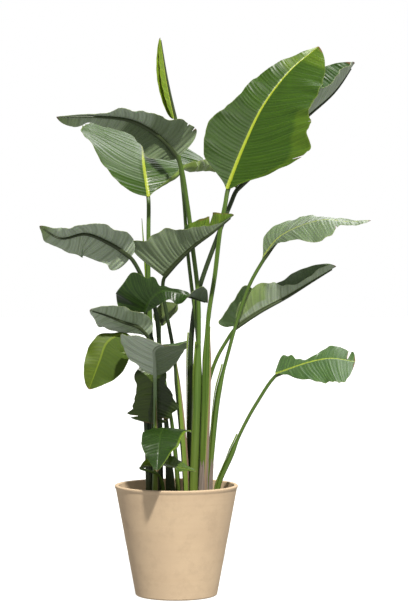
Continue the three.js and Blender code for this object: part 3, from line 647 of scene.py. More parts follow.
def tear_open(points, along, finish, half, u, v, length):
    """Pushes the edges of a half's tears apart; gives its lost faces, and how dry its margin is."""
    lost = np.zeros((len(u) - 1, v.shape[1] - 1), bool)
    dry = np.zeros(points.shape[:2])
    for name, at, depth, gap in finish.get("tears", ()):
        if name != HALVES[half]:
            continue
        row = int(np.argmin(np.abs(u[:, 0] - at)))
        open_by = gap * MM * np.clip((v - 1 + depth) / depth, 0, 1)
        away = np.abs(u - u[row]) * length
        push = np.where(np.arange(len(u))[:, None] <= row, -0.5, 0.5) * np.exp(-away / TEAR_EASE)
        points += along * (open_by * push)[..., None]
        lost[row, v[0, 1:] > 1 - depth] = True
        dry = np.maximum(dry, np.exp(-away / DRY_REACH) * (v > 1 - depth))
    return lost, dry


def patch_strengths(finish, half, u, v):
    """How strong each tint is over a half."""
    tints = {tint: np.zeros((len(u), v.shape[1])) for tint in TINTS}
    for tint, name, start, end, inner, outer, strength in finish.get("patches", ()):
        if name == HALVES[half]:
            patch = strength * within(u, start, end) * within(v, inner, outer)
            tints[tint] = np.maximum(tints[tint], patch)
    return tints


def half_blade(leaf, finish, line, u, v, half, settings):
    """One half of a blade, rows by columns: its points, torn faces and surface values."""
    side = (-1, 1)[half]
    width = between(leaf["width"][half], u) * outline(u, leaf["foot"]) * MM
    ease = SWEEP_AT_FOOT + (1 - SWEEP_AT_FOOT) * np.minimum(1, u / SWEEP_FULL)
    forward = width * (SWEEP * ease * (1 - u**SWEEP_FADE) - leaf["lobe"] * np.exp(-u / LOBE_REACH))
    distance = u * line.length + forward * v**SWEEP_POWER
    angle = fold_angle(leaf, finish, half, distance / line.length, u, v)
    middle = (angle[:, 1:] + angle[:, :-1]) / 2
    step = np.diff(v, axis=1) * width
    rib = np.zeros((len(u), 1))
    across = np.hstack([rib, np.cumsum(np.cos(middle) * step, axis=1)])
    rise = np.hstack([rib, np.cumsum(np.sin(middle) * step, axis=1)])

    height, length = leaf["wave"]
    seed = finish["number"] + side
    turn = 2 * np.pi * distance / (length * MM)
    full = np.minimum(1, 2 * width / width.max())
    ripple = np.sin(turn + side) + SHORT_WAVE_HEIGHT * np.sin(turn / SHORT_WAVE)
    pleat = pleat_wave(u * line.length, seed, settings.pleat_spacing)
    hold = smooth(v / PLEAT_RISE) * (1 - PLEAT_LOSS * smooth((v - PLEAT_FALL) / (1 - PLEAT_FALL)))
    hold = hold * np.minimum(1, width / PLEATED_WIDTH)
    flutter = np.sin(2 * np.pi * distance / FLUTTER_LENGTH + FLUTTER_PHASE * seed)
    lift = (
        height * MM * ripple * full * v**WAVE_POWER
        + settings.pleat_height * finish["pleats"] * pleat * hold
        + FLUTTER * flutter * v**FLUTTER_POWER * full
        - CHANNEL_DEPTH * np.exp(-((v * width / midrib_radius(leaf, u)) ** 2))
    )
    place, along, up, right = rib_frame(leaf, line, distance)
    points = offset(
        place, right, side * (across - lift * np.sin(angle)), up, rise + lift * np.cos(angle)
    )
    lost, dry = tear_open(points, along, finish, half, u, v, line.length)
    tints = patch_strengths(finish, half, u, v)
    return points, lost, {"away": v * width, "dry": dry, "pleat": pleat * hold, **tints}


def join_halves(halves):
    """Puts the left half, from margin to rib, beside the right half."""
    (left, left_lost, left_values), (right, right_lost, right_values) = halves
    points = np.concatenate([left[:, ::-1], right[:, 1:]], axis=1)
    lost = np.hstack([left_lost[:, ::-1], right_lost])
    values = {key: np.hstack([left_values[key][:, ::-1], right_values[key][:, 1:]]) for key in left_values}
    return points, lost, values


def drop_faces(piece, lost):
    """Deletes the faces of a grid that a tear has opened."""
    if not lost.any():
        return
    edit_all(piece)
    bpy.ops.mesh.select_mode(type="FACE")
    bpy.ops.mesh.select_all(action="DESELECT")
    close_edit()
    piece.data.polygons.foreach_set("select", lost.ravel())
    bpy.ops.object.mode_set(mode="EDIT")
    bpy.ops.mesh.delete(type="FACE")
    bpy.ops.mesh.select_mode(type="VERT")
    close_edit()


def make_blade(number, leaf, settings):
    """The fine blade of one leaf, thickened and finished on both faces."""
    finish = dict(FINISH[number], number=number)
    line = rib_line(leaf)
    u = rib_shares(max(FEWEST_ROWS, round(line.length / ROW_STEP)))[:, None]
    v = (np.linspace(0, 1, HALF_COLUMNS + 1) ** COLUMN_POWER)[None, :]
    points, lost, values = join_halves(
        [half_blade(leaf, finish, line, u, v, half, settings) for half in range(len(HALVES))]
    )
    away, reach = values.pop("away"), np.concatenate([v[0, ::-1], v[0, 1:]])[None, :]
    signed = away * np.where(np.arange(away.shape[1]) < HALF_COLUMNS, -1, 1)
    tip = smooth((u - DRY_TIP) / DRY_TIP_EASE) * (reach + DRY_TIP_BASE)
    dry = np.maximum(values["dry"], tip)
    values |= {"from_rib": away / midrib_radius(leaf, u), "reach": reach, "dry": dry}
    piece = moved_grid(f"blade_{number:02d}", points, joined_uv(u * line.length, signed), values)
    drop_faces(piece, lost)
    age = finish["age"]
    skins = [material(f"leaf_{FACES[i]}_{age}", paint_blade, AGES[age][i], i) for i in range(2)]
    finish_sheet(piece, settings.thickness, *skins)
    fasten(piece, "leaf", f"leaf_{number:02d}_blade")


# ---------- stalks: shares of the stalk's length, unless a unit is given ----------
STALK_SIDES = 24
STALK_STEPS = 90
MIDRIB_STEP = 5 * MM
FEWEST_MIDRIB_STEPS = 12
GROOVE = 0.35  # depth, as a share of the stalk's half depth
GROOVE_WIDTH = 0.5  # radians
GROOVE_START = 0.3
GROOVE_END = 1.05
GROOVE_EASE = 0.1


def sheath_swell(leaf, share):
    """How far a stalk's sheath swells it, from 1 at the foot, to a shoulder or evenly."""
    if leaf["sheath"] is None:
        return (1 - share) ** SWELL_POWER
    over = smooth((leaf["sheath"] - share) / SHOULDER)
    return over * (1 - SHEATH_TAPER * share / leaf["sheath"])


def stalk_stations(leaf, line):
    """Stations of a stalk from its foot to the blade: place, axes, half sizes and share of the height."""
    neck = leaf["neck"] * MM
    foot = np.array([leaf["stalk"][0][0] * MM, leaf["stalk"][0][1] * MM, STEM_FOOT])
    ends = np.array([0, MIDRIB_LEAD * line.length])
    joints = midrib_place(leaf, line, ends, neck)[0]
    points = np.vstack([foot, np.array(leaf["stalk"]) * MM, joints])
    curve = Line(points)
    at_joint = round(CURVE_SAMPLES * (len(points) - 2) / (len(points) - 1))
    share = np.arange(STALK_STEPS) / STALK_STEPS
    place, along = curve.at(share * curve.arc[at_joint])
    up = square_to(np.broadcast_to(np.array(leaf["face"][0], float), along.shape), along)
    swell = sheath_swell(leaf, share)
    wide, deep = (neck * (1 + (most - 1) * swell) for most in (SHEATH_WIDE, SHEATH_DEEP))
    return dict(place=place, up=up, side=np.cross(along, up), wide=wide, deep=deep, over=deep, share=share)


def midrib_stations(leaf, line):
    """Stations of the raised midrib, whose top touches the blade's underside."""
    shares = rib_shares(max(FEWEST_MIDRIB_STEPS, round(line.length / MIDRIB_STEP)))
    shares = shares[shares < MIDRIB_END]
    radius = midrib_radius(leaf, shares)
    place, _, up, side, clear = midrib_place(leaf, line, shares * line.length, radius)
    over = clear - FRAME_THICKNESS / 4
    return dict(place=place, up=up, side=side, wide=radius, deep=radius, over=over, share=1 + shares)


def make_stalk(number, leaf, settings):
    """A stalk with its grooved upper side, which runs on as the midrib under the blade."""
    line = rib_line(leaf)
    petiole, midrib = stalk_stations(leaf, line), midrib_stations(leaf, line)
    whole = {key: np.concatenate([petiole[key], midrib[key]])[:, None] for key in petiole}
    turn = np.linspace(-np.pi, np.pi, STALK_SIDES + 1)[None, :]
    share = whole["share"]
    grooved = smooth(share / GROOVE_START) * smooth((GROOVE_END - share) / GROOVE_EASE)
    groove = GROOVE * np.exp(-((turn / GROOVE_WIDTH) ** 2)) * grooved
    height = np.where(np.cos(turn) > 0, whole["over"] * (1 - groove), whole["deep"])
    across, above = whole["wide"] * np.sin(turn), height * np.cos(turn)
    points = offset(whole["place"], whole["side"], across, whole["up"], above)
    steps = np.linalg.norm(np.diff(whole["place"][:, 0], axis=0), axis=1)
    arc = np.concatenate([[0], np.cumsum(steps)])[:, None]
    piece = moved_grid(f"stalk_{number:02d}", points, joined_uv(arc, turn / (2 * np.pi)), {"rise": share})
    wrap_closed(piece)
    tone = TONE_OF_LEAF.get(number, "green")
    piece.data.materials.append(material(f"stalk_skin_{tone}", paint_stalk, settings, tone))
    shade(piece)
    edges = [make_sheath_edge(edge, petiole, settings) for edge in SHEATH_EDGES if edge["leaf"] == number]
    if edges:
        join(piece, edges)
    fasten(piece, "stalk", f"leaf_{number:02d}_stalk")


def at_heights(stations, heights):
    """Centre, axes and half sizes of a stalk at heights."""
    z = stations["place"][:, 2]

    def read(key):
        values = stations[key]
        if values.ndim == 1:
            return np.interp(heights, z, values)
        return np.stack([np.interp(heights, z, values[:, k]) for k in range(3)], -1)

    return [read(key) for key in ("place", "up", "side", "wide", "deep")]


# ---------- sheath edges and dry leaf bases: shares, unless a unit is given ----------
RISE_SPAN = 300 * MM  # height over the soil that counts as 1 on a sheath
EDGE_ROWS = 70
EDGE_COLUMNS = 12
EDGE_THICKNESS = 0.8 * MM
EDGE_CLEAR = 0.6 * MM
EDGE_SPREAD = 4 * MM
EDGE_SPREAD_POWER = 3
EDGE_POINT_POWER = 2.5
EDGE_SPAN = 20 * MM  # how wide the sheet counts on its UV map
HUSK_ROWS = 80
HUSK_COLUMNS = 36
HUSK_THICKNESS = 0.8 * MM
HUSK_SPAN = 30 * MM
RAGGED_POWER = 4  # how late the top turns ragged
TAPER_POWER = 3
HUSK_TEARS = ((2.5 * MM, 61), (1.5 * MM, 143))  # height of the finer tears along the top, and radians
HUSK_FIBRE = (0.25 * MM, 47)  # height of the fibres, and radians across
FIBRE_SWAY = (2, 9)  # how far they stray, in radians, and radians up the husk
HUSK_FOLD = (0.6 * MM, 13, 5)  # height of the folds, and radians across and up


def hugging_sheet(name, stations, heights, angles, clear, span, dry=0):
    """A sheet round part of a stalk, at heights and angles, rows by columns."""
    place, up, side, wide, deep = at_heights(stations, heights)
    points = offset(place, side, np.sin(angles) * (wide + clear), up, -np.cos(angles) * (deep + clear))
    across = np.broadcast_to(np.linspace(0, 1, angles.shape[1])[None, :], angles.shape)
    values = {"edge": 1 - across + dry, "rise": (heights - SOIL_TOP) / RISE_SPAN}
    return moved_grid(name, points, joined_uv(heights, across * span), values)


def make_sheath_edge(edge, stations, settings):
    """The membranous edge of a green sheath, which runs out to a point."""
    rise = np.linspace(0, 1, EDGE_ROWS)[:, None]
    column = np.linspace(-1, 1, EDGE_COLUMNS)[None, :]
    heights = STEM_FOOT + (edge["top"] * MM - STEM_FOOT) * np.broadcast_to(rise, (EDGE_ROWS, EDGE_COLUMNS))
    middle = math.radians(edge["start"] + edge["end"]) / 2
    reach = math.radians(edge["end"] - edge["start"]) / 2
    angles = middle + reach * column * (1 - rise**EDGE_POINT_POWER)
    clear = EDGE_CLEAR + EDGE_SPREAD * np.abs(column) ** EDGE_SPREAD_POWER * rise
    dry = edge.get("dry", 0) * (1 - rise) - edge.get("fresh", 0)
    piece = hugging_sheet("sheath_edge", stations, heights, angles, clear, EDGE_SPAN, dry)
    skin = material("sheath_edge_skin", paint_sheath_edge, settings)
    finish_sheet(piece, EDGE_THICKNESS, skin, skin)
    return piece


def make_husk(number, dry):
    """A dry leaf base that hugs a stem, torn along the top."""
    leaf = LEAVES[dry["leaf"] - 1]
    rise = np.linspace(0, 1, HUSK_ROWS)[:, None]
    column = np.linspace(0, 1, HUSK_COLUMNS)[None, :]
    (rough, rough_turns), (fine, fine_turns) = HUSK_TEARS
    ragged = DRY_TEAR * np.sin(DRY_TEAR_TURNS * column + dry["top"])
    ragged = ragged + rough * np.sin(rough_turns * column + number) + fine * np.sin(fine_turns * column)
    heights = DRY_FOOT + (dry["top"] * MM + ragged * rise**RAGGED_POWER - DRY_FOOT) * rise
    reach = math.radians(dry["end"] - dry["start"]) / 2 * (1 - DRY_TAPER * rise**TAPER_POWER)
    angles = math.radians(dry["start"] + dry["end"]) / 2 + reach * (2 * column - 1)
    (fibre, fibre_turns), (sway, sway_turns), (fold, across, up) = HUSK_FIBRE, FIBRE_SWAY, HUSK_FOLD
    relief = fibre * np.sin(fibre_turns * column + sway * np.sin(sway_turns * rise))
    relief = relief + fold * np.sin(across * column + up * rise) * rise
    stations = stalk_stations(leaf, rib_line(leaf))
    piece = hugging_sheet(f"husk_{number}", stations, heights, angles, DRY_CLEAR + relief, HUSK_SPAN)
    skin = material("dry_fibrous_husk", paint_husk)
    finish_sheet(piece, HUSK_THICKNESS, skin, skin)
    fasten(piece, "dry_sheath", f"dry_sheath_{number:02d}")


# ---------- the thin rolled leaf ----------
SPEAR_STEPS = 120
SPEAR_POWER = 3
SPEAR_TWIST = 0.6  # half turns that the edge of the roll makes on its way up
SPEAR_LAP = 0.09  # how far the roll draws in on its way round, as a share of the radius
SPEAR_SPAN = 4 * MM  # of a radian, on the UV map
SPEAR_TINT = 0.2
NO_RIB = 9  # radii from a rib: nowhere near one


def make_rolled_leaf():
    """A leaf still rolled up, with the edge of the roll running up it."""
    line = Line(np.array(SPEAR) * MM)
    share = np.linspace(0, 1, SPEAR_STEPS)[:, None]
    turn = np.linspace(-np.pi, np.pi, STALK_SIDES + 1)[None, :]
    place, along = line.at(share[:, 0] * line.length)
    up = square_to(np.broadcast_to(np.array([0.0, -1.0, 0.0]), along.shape), along)
    side = np.cross(along, up)
    lap = (turn / np.pi + SPEAR_TWIST * share) % 2
    radius = (SPEAR_TIP + (SPEAR_RADIUS - SPEAR_TIP) * (1 - share**SPEAR_POWER)) * (1 - SPEAR_LAP * lap)
    points = offset(
        place[:, None], side[:, None], radius * np.sin(turn), up[:, None], radius * np.cos(turn)
    )
    values = {"from_rib": NO_RIB, "reach": lap / 2, "dry": 0, "pleat": 0, **dict.fromkeys(TINTS, 0)}
    values["yellow"] = SPEAR_TINT
    piece = moved_grid("rolled_leaf", points, joined_uv(share * line.length, turn * SPEAR_SPAN), values)
    wrap_closed(piece)
    piece.data.materials.append(material("leaf_under_young", paint_blade, AGES["young"][1], 1))
    shade(piece)
    fasten(piece, "leaf")


# ---------- pot ----------
POT_STEPS = 144
POT_SMOOTH_ANGLE = 35
RIPPLE = 0.012 * MM  # throwing marks left in the clay
RIPPLE_LENGTH = 11 * MM
SLOW_RIPPLE = 2.9  # length of the slower marks, against the others'
SLOW_RIPPLE_HEIGHT = 0.6
RIPPLE_DEPTH = 1.6  # keeps the marks inside the wall
WALL_STEP = 3 * MM
CORNER_STEPS = 6
DRAIN_SIDES = 32


def outer_radius(z):
    """Radius of the pot's outside wall at a height."""
    taper = (RIM_RADIUS - LIP_PROUD - BASE_RADIUS) / (POT_HEIGHT - BASE_ROUNDING)
    return BASE_RADIUS + taper * (z - BASE_ROUNDING)


def inner_radius(z):
    """Radius of the pot's inside wall at a height."""
    return outer_radius(z) - WALL


def ripple(z):
    """Depth of the throwing marks at a height."""
    usual = math.sin(2 * math.pi * z / RIPPLE_LENGTH)
    slow = math.sin(2 * math.pi * z / (SLOW_RIPPLE * RIPPLE_LENGTH))
    return RIPPLE * (usual + SLOW_RIPPLE_HEIGHT * slow - RIPPLE_DEPTH)


def rounded(r, z, radius, start, end):
    """A rounded corner of the profile about (r, z), from one angle to another in degrees."""
    for i in range(CORNER_STEPS + 1):
        angle = math.radians(start + (end - start) * i / CORNER_STEPS)
        yield r + radius * math.cos(angle), z + radius * math.sin(angle)


def pot_profile():
    """The pot's half section, from the middle of its base round to the middle of its floor."""
    lip_foot = POT_HEIGHT - LIP_HEIGHT
    lip_top = POT_HEIGHT - LIP_ROUNDING
    wall_top = lip_foot - LIP_SLOPE
    count = round((wall_top - BASE_ROUNDING) / WALL_STEP)
    heights = [BASE_ROUNDING + (wall_top - BASE_ROUNDING) * i / count for i in range(1, count + 1)]
    inside = [lip_top - (lip_top - FLOOR) * i / (count // 2) for i in range(1, count // 2 + 1)]
    return [
        (0, 0),
        *rounded(BASE_RADIUS - BASE_ROUNDING, BASE_ROUNDING, BASE_ROUNDING, -90, 0),
        *((outer_radius(z) + ripple(z), z) for z in heights),
        (outer_radius(lip_foot) + LIP_PROUD, lip_foot),
        *rounded(RIM_RADIUS - LIP_ROUNDING, lip_top, LIP_ROUNDING, 0, 90),
        *rounded(inner_radius(lip_top) + LIP_ROUNDING, lip_top, LIP_ROUNDING, 90, 180),
        *((inner_radius(z), z) for z in inside),
        (0, FLOOR),
    ]


def turned(name, profile, steps):
    """A profile drawn point by point, spun round the upright axis and closed."""
    deselect_all()
    bpy.ops.mesh.primitive_plane_add(size=1)
    piece = bpy.context.object
    piece.name = piece.data.name = name
    edit_all(piece)
    bpy.ops.mesh.merge(type="CENTER")
    place = Vector((profile[0][0], 0, profile[0][1]))
    bpy.ops.transform.translate(value=place)
    for r, z in profile[1:]:
        step = Vector((r, 0, z)) - place
        bpy.ops.mesh.extrude_region_move(TRANSFORM_OT_translate={"value": step})
        place += step
    bpy.ops.mesh.select_all(action="SELECT")
    bpy.ops.mesh.spin(steps=steps, angle=2 * math.pi, center=(0, 0, 0), axis=(0, 0, 1))
    weld_outwards()
    return piece


def make_pot(settings):
    """The clay pot, with its rounded lip, throwing marks and three drain holes."""
    pot = turned("clay_pot", pot_profile(), POT_STEPS)
    for i in range(DRAIN_COUNT):
        angle = 2 * math.pi * i / DRAIN_COUNT + math.pi / 2
        place = (DRAIN_CIRCLE * math.cos(angle), DRAIN_CIRCLE * math.sin(angle), FLOOR / 2)
        deselect_all()
        bpy.ops.mesh.primitive_cylinder_add(
            vertices=DRAIN_SIDES, radius=DRAIN_RADIUS, depth=3 * FLOOR, location=place
        )
        drill = bpy.context.object
        apply_modifier(pot, "BOOLEAN", object=drill, operation="DIFFERENCE", solver="EXACT")
        bpy.data.objects.remove(drill)
    pot.data.materials.clear()
    pot.data.materials.append(material("unglazed_clay", paint_clay, settings))
    shade(pot, POT_SMOOTH_ANGLE)
    fasten(pot, "pot", "pot")


# ---------- soil ----------
SOIL_RINGS = 60
SOIL_TURNS = 160
SOIL_SMOOTH_ANGLE = 50
SOIL_LUMP = 3.5 * MM
SOIL_SUNK = 0.9  # how far the soil lies under its full height, in lumps
CLODS = (1.0, 2.1, 4)  # roughness, lacunarity and octaves of the lumps
CLOD_SCALE = 55
GRIT_SCALE = 240
GRIT_HEIGHT = 0.5
EDGE_RINGS = 3  # rings over which the lumps fade towards the pot
EDGE_LUMPS = 0.3
SOIL_LEVELS = (0.75, 0.5, 0.25, 0)  # of its sides, as shares of its height
CRUMB_COUNT = 420
CRUMB_SEED = 7
CRUMB_SPREAD = 0.97
CRUMB_SIZE = (1.0, 3.4)  # millimetres
CRUMB_SQUASH = (0.4, 1.0)
CRUMB_ROUGH = 0.25
CRUMB_SUNK = 2.2 * MM
CRUMB_RAISE = 0.3


def ring(radius, turn, height):
    """Points round the upright axis."""
    return np.stack(np.broadcast_arrays(radius * np.cos(turn), radius * np.sin(turn), height), -1)


def make_soil(settings):
    """Potting soil with a lumpy top and loose crumbs of bark."""
    turn = np.linspace(0, 2 * np.pi, SOIL_TURNS + 1)
    foot = FLOOR + GAP
    top_radius = inner_radius(SOIL_TOP) - GAP
    top = ring(np.linspace(0, 1, SOIL_RINGS)[:, None] * top_radius, turn[None, :], SOIL_TOP)
    for i in range(SOIL_RINGS):
        for k in range(SOIL_TURNS):
            spot = Vector((top[i, k, 0], top[i, k, 1], 0))
            lump = noise.fractal(spot * CLOD_SCALE, *CLODS) + GRIT_HEIGHT * noise.noise(spot * GRIT_SCALE)
            fade = min(1, (SOIL_RINGS - 1 - i) / EDGE_RINGS + EDGE_LUMPS)
            top[i, k, 2] -= SOIL_LUMP * (SOIL_SUNK - lump) * fade
    top[:, -1, 2] = top[:, 0, 2]
    heights = [foot + (SOIL_TOP - foot) * share for share in SOIL_LEVELS]
    low = [ring(inner_radius(height) - GAP, turn, height) for height in heights]
    points = np.concatenate([top, np.array([*low, ring(0, turn, foot)])])[::-1]
    piece = moved_grid("potting_soil", points, points[..., :2], {})
    edit_all(piece)
    weld_outwards()
    join(piece, scatter_crumbs(top_radius))
    piece.data.materials.clear()
    piece.data.materials.append(material("peat_soil", paint_soil, settings))
    shade(piece, SOIL_SMOOTH_ANGLE)
    fasten(piece, "soil", "soil")


def scatter_crumbs(radius):
    """Small rough lumps that lie on the soil."""
    rng = np.random.default_rng(CRUMB_SEED)
    crumbs = []
    deselect_all()
    bpy.ops.mesh.primitive_ico_sphere_add(subdivisions=1, radius=1)
    first = bpy.context.object
    for _ in range(CRUMB_COUNT):
        r, angle = radius * CRUMB_SPREAD * math.sqrt(rng.random()), rng.random() * 2 * math.pi
        size = MM * rng.uniform(*CRUMB_SIZE)
        squash = rng.uniform(*CRUMB_SQUASH, 3) * size
        crumb = first.copy()
        crumb.data = first.data.copy()
        bpy.context.collection.objects.link(crumb)
        mesh = crumb.data
        co = np.zeros(len(mesh.vertices) * 3, np.float32)
        mesh.vertices.foreach_get("co", co)
        rough = 1 + CRUMB_ROUGH * rng.standard_normal((len(mesh.vertices), 1))
        spin = rng.random() * 2 * math.pi
        c, s = math.cos(spin), math.sin(spin)
        co = co.reshape(-1, 3) * rough * squash @ np.array([[c, s, 0], [-s, c, 0], [0, 0, 1]])
        height = SOIL_TOP - CRUMB_SUNK + squash[2] * CRUMB_RAISE
        place = np.array([r * math.cos(angle), r * math.sin(angle), height])
        mesh.vertices.foreach_set("co", (co + place).astype(np.float32).ravel())
        crumbs.append(crumb)
    bpy.data.objects.remove(first)
    return crumbs


# ---------- materials ----------
def add_node(tree, kind, inputs=None, **settings):
    """Adds a node with its settings, and gives each input a value or a link."""
    node = tree.nodes.new(kind)
    for key, value in settings.items():
        setattr(node, key, value)
    for key, value in (inputs or {}).items():
        if isinstance(value, bpy.types.NodeSocket):
            tree.links.new(value, node.inputs[key])
        else:
            node.inputs[key].default_value = value
    return node


def material(name, paint, *about):
    """The material of a name, painted the first time it is asked for."""
    found = bpy.data.materials.get(name)
    if found:
        return found
    made = bpy.data.materials.new(name)
    made.use_nodes = True
    made.node_tree.nodes.clear()
    paint(made.node_tree, *about)
    return made


def attribute(tree, name):
    """A value that the points of a piece carry."""
    return add_node(tree, "ShaderNodeAttribute", attribute_name=name).outputs["Fac"]


def surface_map(tree):
    """Distances along and across a surface."""
    return add_node(tree, "ShaderNodeUVMap", uv_map="surface").outputs[0]


def object_place(tree):
    """Places on a piece, in metres."""
    return add_node(tree, "ShaderNodeTexCoord").outputs["Object"]


def grain(tree, where, scale, detail, roughness=0.5):
    """Noise around a half; three scales stretch it."""
    if isinstance(scale, tuple):
        where = add_node(tree, "ShaderNodeMapping", {"Vector": where, "Scale": scale}).outputs[0]
        scale = 1
    inputs = {"Vector": where, "Scale": scale, "Detail": detail, "Roughness": roughness}
    return add_node(tree, "ShaderNodeTexNoise", inputs).outputs["Fac"]


def ramp(tree, value, start, end, high=1, low=0):
    """A value brought from its start and end to low and high, and held there."""
    return add_node(tree, "ShaderNodeMapRange", {0: value, 1: start, 2: end, 3: low, 4: high}).outputs[0]


def times(tree, value, factor):
    """The product of two values."""
    return add_node(tree, "ShaderNodeMath", {0: value, 1: factor}, operation="MULTIPLY").outputs[0]


def times_plus(tree, value, factor, added):
    """A value times a factor, plus another value."""
    inputs = {0: value, 1: factor, 2: added}
    return add_node(tree, "ShaderNodeMath", inputs, operation="MULTIPLY_ADD").outputs[0]


def rgba(colour):
    """A colour code, or a colour from the settings, with its alpha."""
    return (*(linear(colour) if isinstance(colour, str) else colour), 1)


def layered(tree, base, *layers):
    """Lays colours over a base colour, each through its own mask."""
    base = rgba(base)
    for mask, colour in layers:
        inputs = {0: mask, 6: base, 7: rgba(colour)}
        base = add_node(tree, "ShaderNodeMix", inputs, data_type="RGBA").outputs[2]
    return base


def brought_in(tree, layers, values):
    """Masks and colours of layers, each brought in by the value of its name."""
    return [(ramp(tree, values[key], *reach), colour) for key, (*reach, colour) in layers.items()]


def finish_material(tree, colour, roughness, height, relief, **sockets):
    """The shader and output of a material; relief is the strength and depth of its bumps."""
    inputs = {"Height": height, "Strength": relief[0], "Distance": relief[1]}
    bump = add_node(tree, "ShaderNodeBump", inputs).outputs[0]
    inputs = {"Base Color": colour, "Roughness": roughness, "Normal": bump, **sockets}
    shader = add_node(tree, "ShaderNodeBsdfPrincipled", inputs)
    add_node(tree, "ShaderNodeOutputMaterial", {"Surface": shader.outputs[0]})


def tones(deep, bright, rib, edge, **more):
    """Colours of one face of a blade, and what sets it apart."""
    return dict(deep=deep, bright=bright, rib=rib, edge=edge, **more)


# On the undersides the rib colour is darker than the blade: painted shade along the midrib.
GREEN_UNDER = tones("#738363", "#9aaa86", "#4c5a33", "#7d8a4c")
PALE_UNDER = tones("#859578", "#b4c2a4", "#63704c", "#86925c")
FRESH_UNDER = tones("#5c6e3a", "#7a8b54", "#5c6c34", "#7f8f48")
AGES = {  # upper face, underside
    "grown": (tones("#223f06", "#3b5c0a", "#98a626", "#5c7022"), GREEN_UNDER),
    "full": (tones("#244206", "#3d6008", "#98a626", "#5c7022", furrow="#1a3404", wax=0.45), GREEN_UNDER),
    "silvery": (tones("#35542a", "#55723f", "#8ea03a", "#667c34"), PALE_UNDER),
    "hazy": (tones("#586a4e", "#788c6a", "#98a650", "#8a9a5c"), PALE_UNDER),
    "matt": (tones("#40520c", "#586c10", "#66781c", "#6c8028", wax=0), FRESH_UNDER),
    "pale": (tones("#234a18", "#3c651f", "#8ea03a", "#667c34"), PALE_UNDER),
    "dark": (
        tones("#183008", "#29450c", "#2e4812", "#4c6424"),
        tones("#4c5c44", "#6a7a5e", "#46562c", "#6d7d40"),
    ),
    # A leaf that hangs in shade: both faces darkened, painted shade.
    "shaded": (
        tones("#24330c", "#394c12", "#3a4d1a", "#3d4f20"),
        tones("#24330c", "#394c12", "#34431c", "#3d4f20"),
    ),
    "fresh": (tones("#334f0a", "#4a650d", "#5c7018", "#6c8028"), FRESH_UNDER),
    "young": (
        tones("#5e7808", "#76900c", "#98ac22", "#9cb030", wax=0),
        tones("#5e7c08", "#7c9812", "#9cb03c", "#a8b848", wax=0),
    ),
}
# Tints laid over a blade in patches. The pale grey-green tint is painted light on lit halves of blades, over
# the undersides' own waxy grey-green; the deep green tint darkens patches, and on some leaves it is painted
# shade.
TINTS = {"yellow": "#6f8a1e", "bloom_and_light": "#b9c6b0", "deep": "#2c4410", "brown": "#6b4a2a"}
VEIN_SPACING = 3.4 * MM  # real side veins are about 1 mm apart, too fine to show
VEIN_STRAY = {"Distortion": 0.6, "Detail Scale": 0.4}
VEIN_RELIEF = 0.5  # height of the veins against the streaks
STREAK_WIDTH = 5 * MM
STREAK_LENGTH = 40 * STREAK_WIDTH
STREAKS = ((1 / STREAK_WIDTH, 1 / STREAK_LENGTH, 1), 3, 0.65)  # scale, detail and roughness of a noise
BLOTCH_SIZE = 80 * MM
WAVE_STEP = 0.05 * math.pi  # a wave texture of scale 1 repeats every 2 pi / 20 metres
LIVING_IOR = 1.45
SPECULAR = 0.3  # specular level without wax
WAX_SPECULAR = 0.2  # what full wax adds to it
WAX_COAT = 0.12
WAX_ROUGHNESS = 0.3
BLOOM_SHEEN = 0.15
GLOSSY = (0.3, 0.7, 0.46, 0.34)  # start and end of the streaks, roughness at the end and the start
DULL = (0.3, 0.7, 0.65, 0.5)
DEEP_DULL = 0.35  # how much rougher the deep green tint is
LIGHT_THROUGH = {
    "Subsurface Weight": 0.15,
    "Subsurface Radius": (0.6, 1.0, 0.2),
    "Subsurface Scale": 1.2 * MM,
}
# Start and end of the value that brings a colour in, and its strength at the end if not full. A pair
# of them is for the upper face and the underside.
BRIGHT = (0.3, 0.7)
PATCHY = (0.35, 0.7, 0.6)
VEINED = ((0.6, 1, 0.3), (0.6, 1, 0.45))
# Painted shade: the furrows between the pleats darkened, on the upper face to deep green or its own furrow
# colour, on the underside to the rib colour.
FURROW_SHADE = ((0.1, -1.3, 0.35), (0.1, -1.3, 0.6))
AT_EDGE = (0.975, 0.992, 0.8)
ON_RIB = (1.1, 0.75)
DRIED = (0.2, 0.42)
BLADE_RELIEF = ((0.2, 0.4 * MM), (0.4, 0.4 * MM))  # strength and depth of the bumps on each face


